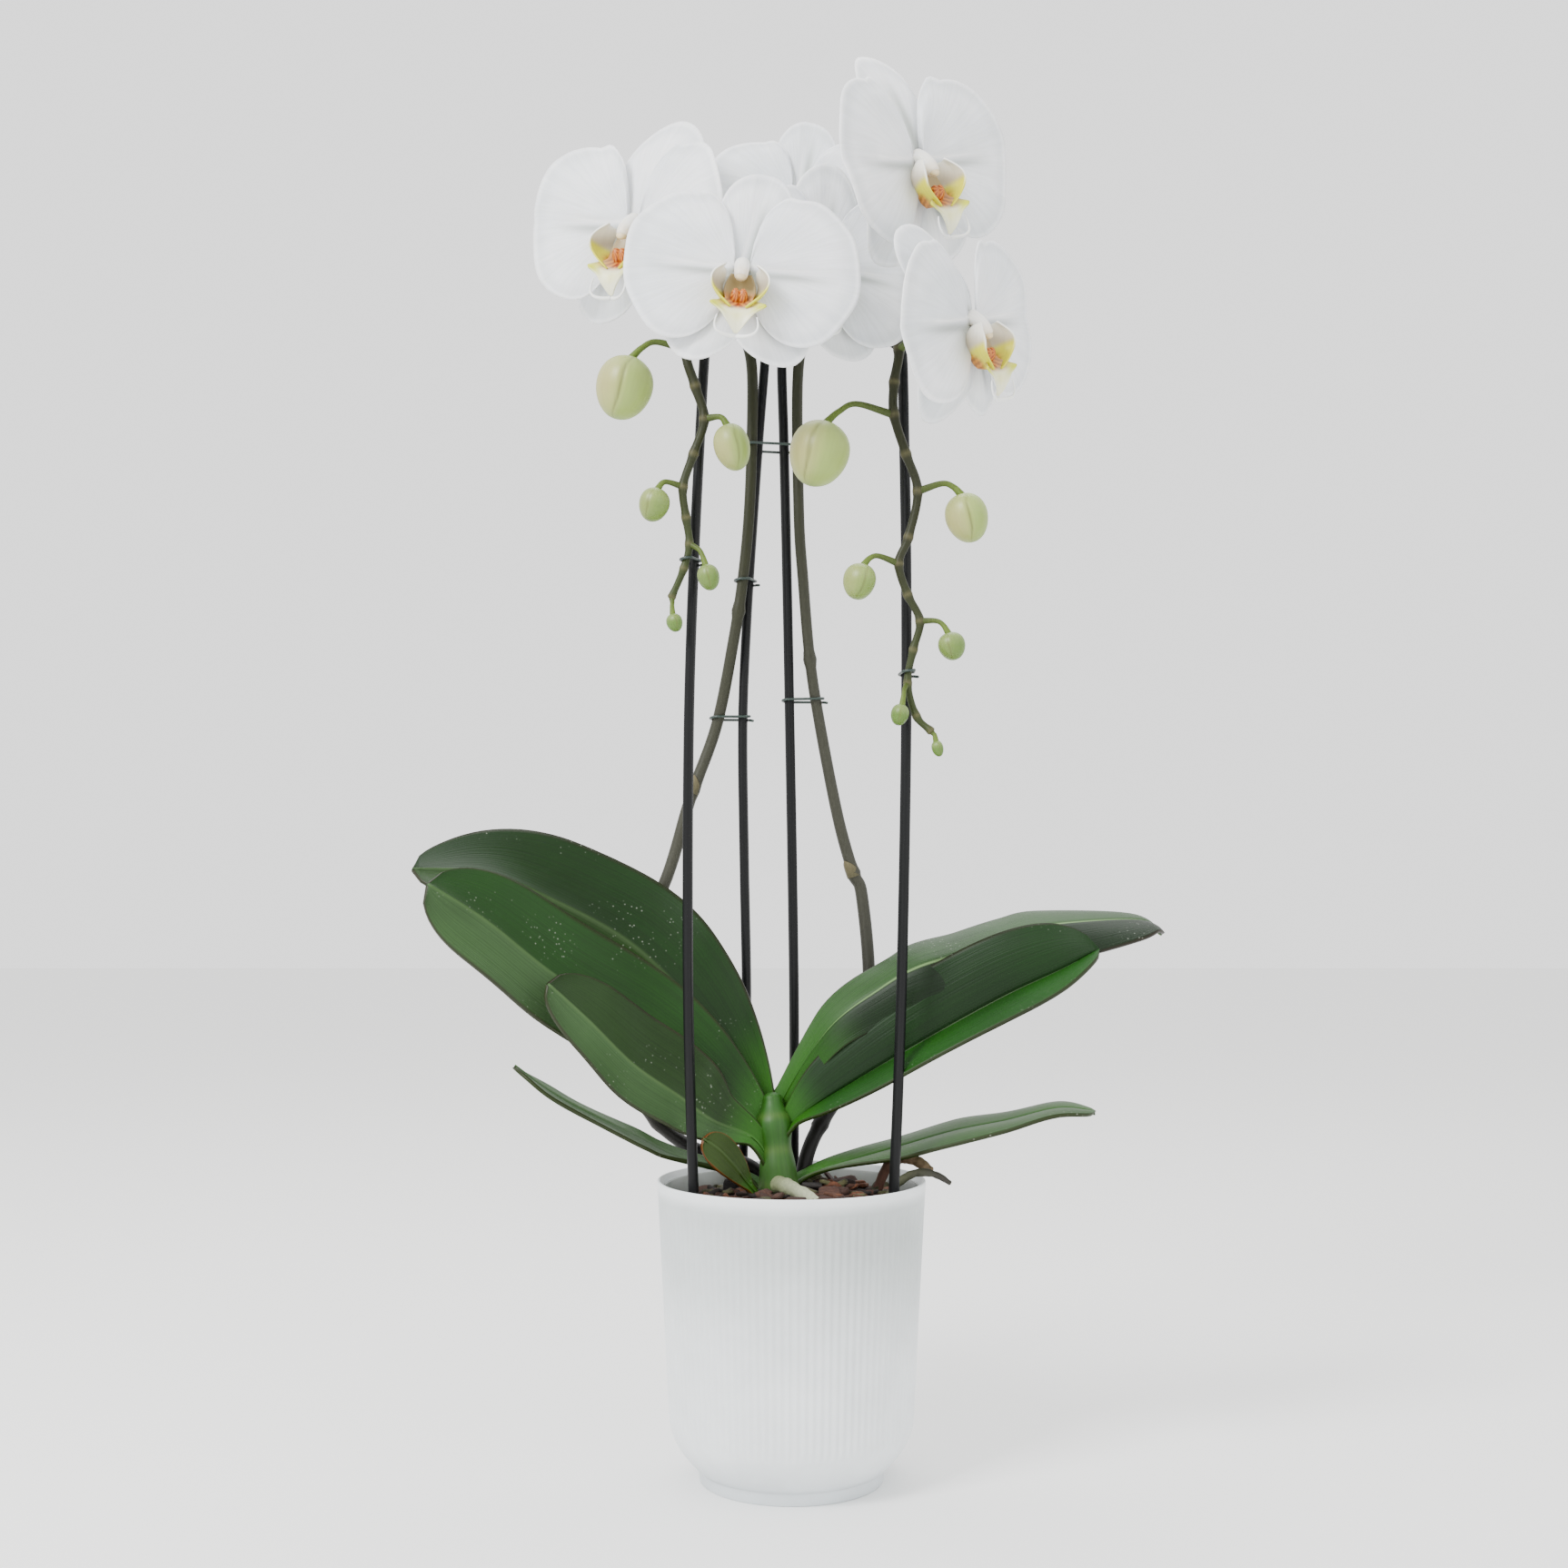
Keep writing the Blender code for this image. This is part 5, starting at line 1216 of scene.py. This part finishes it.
def closed_sheet(points, thick, tint):
    """A sheet with two faces: the grid pushed half the thickness both ways along its normal,
    the two joined round the edge by carrying each row round from one face to the other."""
    normal = unit(np.cross(np.gradient(points, axis=1), np.gradient(points, axis=0)))
    front = points + normal * thick / 2
    rear = points - normal * thick / 2
    loop = np.concatenate([front, rear[:, ::-1]], axis=1)
    first = np.broadcast_to(points[:1].mean(axis=1, keepdims=True), loop[:1].shape)
    last = np.broadcast_to(points[-1:].mean(axis=1, keepdims=True), loop[-1:].shape)
    loop = np.concatenate([first, loop, last], axis=0)
    colour = np.concatenate([tint, tint[:, ::-1]], axis=1)
    colour = np.concatenate([colour[:1], colour, colour[-1:]], axis=0)
    return patch(loop, wrap=True, tint=colour)


def lip_side_lobe(name, sign):
    """A side lobe of the lip: a cup. u goes from its foot to its top and k from back to front.
    Its side x bulges as a sine of u, flares with k and falls by k k, and its top curls in."""
    u = np.linspace(0, 1, 24)[:, None]
    k = np.linspace(-1, 1, 21)[None]
    wide = 6.8 * np.sin(np.pi * (0.12 + 0.80 * u)) ** 0.6
    bulge = 3.2 + 7.6 * np.sin(np.pi * (0.06 + 0.72 * u))
    x = sign * (bulge - 1.6 * k ** 2 + 3.2 * k * np.sin(np.pi * u))
    y = -21.0 + 18.6 * u - 1.4 * k * (1 - u) + 0.6 * k
    z = 5.6 + wide * k + 0.5 * np.sin(u * 9 + k * 2)
    points = placed(name, np.stack([x + 0 * k, y, z], -1) * FLOWERS[name][6])
    # Painted shade inside the cup: greyish tan low on the lobe, fading to white at its top.
    tint = blend(shade("#B5A992"), shade("#EDE8DA"), ease(0.55, 0.95, u + 0.1 * k))
    tint = blend(tint, shade("#CFCB12"), 0.97 * (1 - ease(0.40, 0.58, u - 0.10 * k)))
    stripe = ease(0.55, 0.85, np.abs(np.sin(u * 26 - k * 3)))
    inner = (1 - ease(0.16, 0.42, u + 0.1 * k)) * (1 - ease(-0.2, 0.55, k + 0 * u))
    tint = blend(tint, blend(shade("#CC7A1E"), shade("#8A3408"), stripe), 0.9 * inner)
    rim = ease(0.88, 0.99, np.maximum(np.abs(k) + 0 * u, np.abs(2 * u - 1)))
    tint = blend(tint, shade("#FAFAF2"), 0.9 * rim * ease(0.35, 0.6, u + 0 * k))
    return closed_sheet(points, 0.7 * MM, tint)


def lip_tongue(name):
    """The lip's arrow-shaped tongue: path points (y, z) and half width w, each cross line being
    x = w k, lifted by k k. It is striped at its root, yellow at its corners and pale beyond."""
    path = smooth_path([(-4, -0.5, 4.6), (-9, 0.6, 6.2), (-14, 2.4, 6.8), (-18, 5.0, 6.0),
                        (-20.5, 7.2, 8.6), (-23, 8.8, 12.0), (-25.5, 9.6, 7.6), (-28.6, 9.6, 4.8),
                        (-31.2, 8.8, 2.6), (-33, 7.6, 0.8)], 6)
    k = np.linspace(-1, 1, 25)[None]
    t = np.linspace(0, 1, len(path))[:, None]
    lift = 0.30 * path[:, 2:] * k ** 2
    rows = np.stack([path[:, 2:] * k, path[:, :1] + 0.5 * lift, path[:, 1:2] + 0.85 * lift], -1)
    points = placed(name, rows * FLOWERS[name][6])
    tint = blend(shade("#A08C62"), shade("#EDECCB"), ease(0.30, 0.62, t + 0 * k))
    stripe = ease(0.55, 0.85, np.abs(np.sin(np.abs(k) * 7.5 - t * 12)))
    band = ease(0.16, 0.30, t) * (1 - ease(0.44, 0.60, t))
    tint = blend(tint, blend(shade("#CC7A20"), shade("#843006"), stripe), band * (1 - 0.45 * np.abs(k)))
    corners = ease(0.42, 0.85, np.abs(k)) * np.exp(-((t - 0.56) / 0.10) ** 2)
    tint = blend(tint, shade("#C9CE10"), corners)
    middle = np.exp(-((t - 0.68) / 0.09) ** 2) * (1 - np.abs(k))
    tint = blend(tint, shade("#E2E08A"), 0.6 * middle)
    return closed_sheet(points, 0.8 * MM, tint)


def lip_callus(name, sign):
    """One of the two round knobs between the side lobes, striped down its length."""
    body, h, w = knob((sign * 1.6, -15.6, 5.6), (2.1, 3.1, 2.6), 17, 28, shear=1.2)
    stripe = ease(0.5, 0.8, np.abs(np.sin(w * 4 + h * 2)))
    tint = blend(shade("#D0801C"), shade("#8E3606"), stripe)
    return patch(placed(name, body * FLOWERS[name][6]), wrap=True, tint=tint, flip=True)


def lip_tendril(name, sign):
    """A thin curl from the tongue's tip, out, up and round."""
    q = np.linspace(0, 1, 26)
    curl = np.stack([sign * (0.8 + 8.4 * np.sin(q * 2.0)), -34.2 - 1.4 * np.sin(q * 3.0) + 8.0 * q ** 2,
                     7.6 + 4.4 * q + 1.4 * np.sin(q * 4)], -1)
    scale = FLOWERS[name][6]
    thin = 0.95 * (1 - 0.7 * q) * MM * scale
    return tube(placed(name, curl * scale), thin, 10, shade("#F4F5F1"))


def build_lip(name, surfaces):
    """The lip: two cupped side lobes beside the column, a callus of two knobs between them, and
    a tongue that ends in two curling tendrils."""
    parts = [lip_side_lobe(name, -1), lip_side_lobe(name, 1), lip_tongue(name)]
    for sign in (-1, 1):
        parts += [lip_callus(name, sign), lip_tendril(name, sign)]
    piece(name + "_lip_lobed", parts, surfaces["lip"], [name + "_lip"])


def build_flower(name, number, surfaces, settings):
    """One open flower: three sepals behind, two petals before them, the column and the lip."""
    reflex, seed = FLOWERS[name][5], number * 5
    quarter = np.pi / 2
    lean, wide = DORSALS.get(name, (0.0, SEPAL["width"]))
    sepals = [lobe(name, SEPAL | {"width": wide}, quarter, reflex, seed, lean=math.radians(lean))]
    for count, heading in enumerate((-quarter - SEPAL_SPREAD, -quarter + SEPAL_SPREAD)):
        sepals.append(lobe(name, LOWER_SEPAL, heading, reflex, seed + count + 1))
    petals = [lobe(name, PETAL, heading, 1.0, seed + 3 + count)
              for count, heading in enumerate((0.0, np.pi))]
    for kind, lobes in (("sepals", sepals), ("petals", petals)):
        piece(name + "_" + kind + "_open", lobes, surfaces["petal"], [name + "_" + kind],
              thickness=settings.petal_thickness)
    build_column(name, surfaces)
    build_lip(name, surfaces)


# ------------------------------------------------------------------ stage

CAMERA_PLACE = (-0.0035, -0.9, 0.27)
CAMERA_PITCH = 93.27
CAMERA_LENS = 43.84
FLOOR_REACH = 6.0

# Soft square lamps that look at the middle of the plant: name, place, side and power in watts.
LAMPS = (("key", (-0.95, -1.0, 1.35), 0.55, 30.0), ("fill", (1.2, -1.0, 0.7), 1.2, 5.0),
         ("top", (0.1, 0.5, 1.6), 1.0, 8.0))
LAMP_AIM = (0, 0, 0.38)


def build_stage(settings):
    """A pale floor, soft light from the upper left and front, and the camera."""
    bm = bmesh.new()
    bmesh.ops.create_grid(bm, x_segments=1, y_segments=1, size=FLOOR_REACH)
    mesh = bpy.data.meshes.new("floor")
    bm.to_mesh(mesh)
    bm.free()
    floor = bpy.data.objects.new("floor", mesh)
    bpy.context.scene.collection.objects.link(floor)
    made, _, shader = new_surface("pale_floor_paint", 0.8)
    shader.inputs["Base Color"].default_value = (*settings.floor_colour, 1.0)
    mesh.materials.append(made)
    world = bpy.data.worlds.new("studio")
    bpy.context.scene.world = world
    world.use_nodes = True
    back = world.node_tree.nodes["Background"]
    back.inputs["Color"].default_value = (1.0, 1.0, 1.0, 1.0)
    back.inputs["Strength"].default_value = settings.room_light
    for name, place, size, power in LAMPS:
        light = bpy.data.lights.new(name, "AREA")
        light.energy = power * settings.lamp_power
        light.size = size
        lamp = bpy.data.objects.new(name, light)
        lamp.location = place
        aim = Vector(LAMP_AIM) - Vector(place)
        lamp.rotation_euler = aim.to_track_quat("-Z", "Y").to_euler()
        bpy.context.scene.collection.objects.link(lamp)
    data = bpy.data.cameras.new("camera")
    data.sensor_width = 36.0
    data.lens = CAMERA_LENS
    camera = bpy.data.objects.new("camera", data)
    camera.location = CAMERA_PLACE
    camera.rotation_euler = (math.radians(CAMERA_PITCH), 0, 0)
    bpy.context.scene.collection.objects.link(camera)
    bpy.context.scene.camera = camera


# ------------------------------------------------------------------ settings and operators

class OrchidSettings(bpy.types.PropertyGroup):
    """Sizes and colours that a user would change."""
    pot_colour: bpy.props.FloatVectorProperty(
        name="Pot colour", description="Colour of the frosted cover pot", subtype="COLOR",
        size=3, default=linear("#E4E9EB"), min=0, max=1)
    rib_pitch: bpy.props.FloatProperty(
        name="Rib pitch", description="Distance from rib to rib round the pot", unit="LENGTH",
        default=3.7 * MM, min=2 * MM, max=10 * MM)
    rib_depth: bpy.props.FloatProperty(
        name="Rib depth", description="Depth of the grooves between the ribs", unit="LENGTH",
        default=0.55 * MM, min=0, max=1.2 * MM)
    petal_thickness: bpy.props.FloatProperty(
        name="Petal thickness", description="Thickness of the petals and sepals", unit="LENGTH",
        default=0.6 * MM, min=0.3 * MM, max=1.5 * MM)
    floor_colour: bpy.props.FloatVectorProperty(
        name="Floor colour", description="Colour of the floor", subtype="COLOR",
        size=3, default=linear("#F4F4F3"), min=0, max=1)
    room_light: bpy.props.FloatProperty(
        name="Room light", description="Strength of the even light all round", default=1.75, min=0, max=4)
    lamp_power: bpy.props.FloatProperty(
        name="Lamp power", description="Strength of the soft lamps", default=1.2, min=0, max=5)


SURFACES = {}


def surfaces():
    """The finishes, made once."""
    if not SURFACES:
        SURFACES.update(make_surfaces())
    return SURFACES


class ORCHID_OT_cover_pot(bpy.types.Operator):
    """Builds the frosted cover pot"""
    bl_idname = "orchid.cover_pot"
    bl_label = "Cover pot"

    def execute(self, context):
        build_cover_pot(surfaces(), context.scene.orchid)
        return {"FINISHED"}


class ORCHID_OT_grower_pot(bpy.types.Operator):
    """Builds the clear grower's pot"""
    bl_idname = "orchid.grower_pot"
    bl_label = "Grower's pot"

    def execute(self, context):
        build_grower_pot(surfaces())
        return {"FINISHED"}


class ORCHID_OT_bark(bpy.types.Operator):
    """Fills the pot with bark chips"""
    bl_idname = "orchid.bark"
    bl_label = "Bark"

    def execute(self, context):
        build_bark(surfaces())
        return {"FINISHED"}


class ORCHID_OT_hoops(bpy.types.Operator):
    """Bends the two support hoops"""
    bl_idname = "orchid.hoops"
    bl_label = "Support hoops"

    def execute(self, context):
        build_hoops(surfaces())
        return {"FINISHED"}


class ORCHID_OT_clips(bpy.types.Operator):
    """Winds the wire clips"""
    bl_idname = "orchid.clips"
    bl_label = "Wire clips"

    def execute(self, context):
        build_clips(surfaces())
        return {"FINISHED"}


class ORCHID_OT_crown_and_roots(bpy.types.Operator):
    """Grows the crown and the aerial roots"""
    bl_idname = "orchid.crown_and_roots"
    bl_label = "Crown and roots"

    def execute(self, context):
        build_crown(surfaces())
        build_roots(surfaces())
        return {"FINISHED"}


class ORCHID_OT_leaves(bpy.types.Operator):
    """Grows the strap leaves"""
    bl_idname = "orchid.leaves"
    bl_label = "Leaves"

    def execute(self, context):
        build_leaves(surfaces())
        return {"FINISHED"}


class ORCHID_OT_spikes(bpy.types.Operator):
    """Grows the flower spikes with their stalks"""
    bl_idname = "orchid.spikes"
    bl_label = "Flower spikes"

    def execute(self, context):
        build_spikes(surfaces())
        return {"FINISHED"}


class ORCHID_OT_buds(bpy.types.Operator):
    """Grows the closed buds"""
    bl_idname = "orchid.buds"
    bl_label = "Buds"

    def execute(self, context):
        build_buds(surfaces())
        return {"FINISHED"}


class ORCHID_OT_flowers(bpy.types.Operator):
    """Opens the flowers"""
    bl_idname = "orchid.flowers"
    bl_label = "Flowers"

    def execute(self, context):
        for number, name in enumerate(FLOWERS):
            build_flower(name, number, surfaces(), context.scene.orchid)
        return {"FINISHED"}


class ORCHID_OT_stage(bpy.types.Operator):
    """Sets the floor, the light and the camera"""
    bl_idname = "orchid.stage"
    bl_label = "Stage"

    def execute(self, context):
        build_stage(context.scene.orchid)
        return {"FINISHED"}


OPERATORS = (ORCHID_OT_stage, ORCHID_OT_cover_pot, ORCHID_OT_grower_pot, ORCHID_OT_bark,
             ORCHID_OT_crown_and_roots, ORCHID_OT_leaves, ORCHID_OT_hoops, ORCHID_OT_spikes,
             ORCHID_OT_clips, ORCHID_OT_buds, ORCHID_OT_flowers)


class ORCHID_PT_panel(bpy.types.Panel):
    """Lists the settings and the pieces"""
    bl_label = "Potted orchid"
    bl_idname = "ORCHID_PT_panel"
    bl_space_type = "VIEW_3D"
    bl_region_type = "UI"
    bl_category = "Orchid"

    def draw(self, context):
        for field in OrchidSettings.__annotations__:
            self.layout.prop(context.scene.orchid, field)
        for operator in OPERATORS:
            self.layout.operator(operator.bl_idname)


CLASSES = (OrchidSettings, *OPERATORS, ORCHID_PT_panel)


def register():
    for made in CLASSES:
        bpy.utils.register_class(made)
    bpy.types.Scene.orchid = bpy.props.PointerProperty(type=OrchidSettings)


def unregister():
    del bpy.types.Scene.orchid
    for made in reversed(CLASSES):
        bpy.utils.unregister_class(made)


def main():
    """Registers the add-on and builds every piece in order."""
    register()
    for operator in OPERATORS:
        group, call = operator.bl_idname.split(".")
        getattr(getattr(bpy.ops, group), call)()


if __name__ == "__main__":
    main()
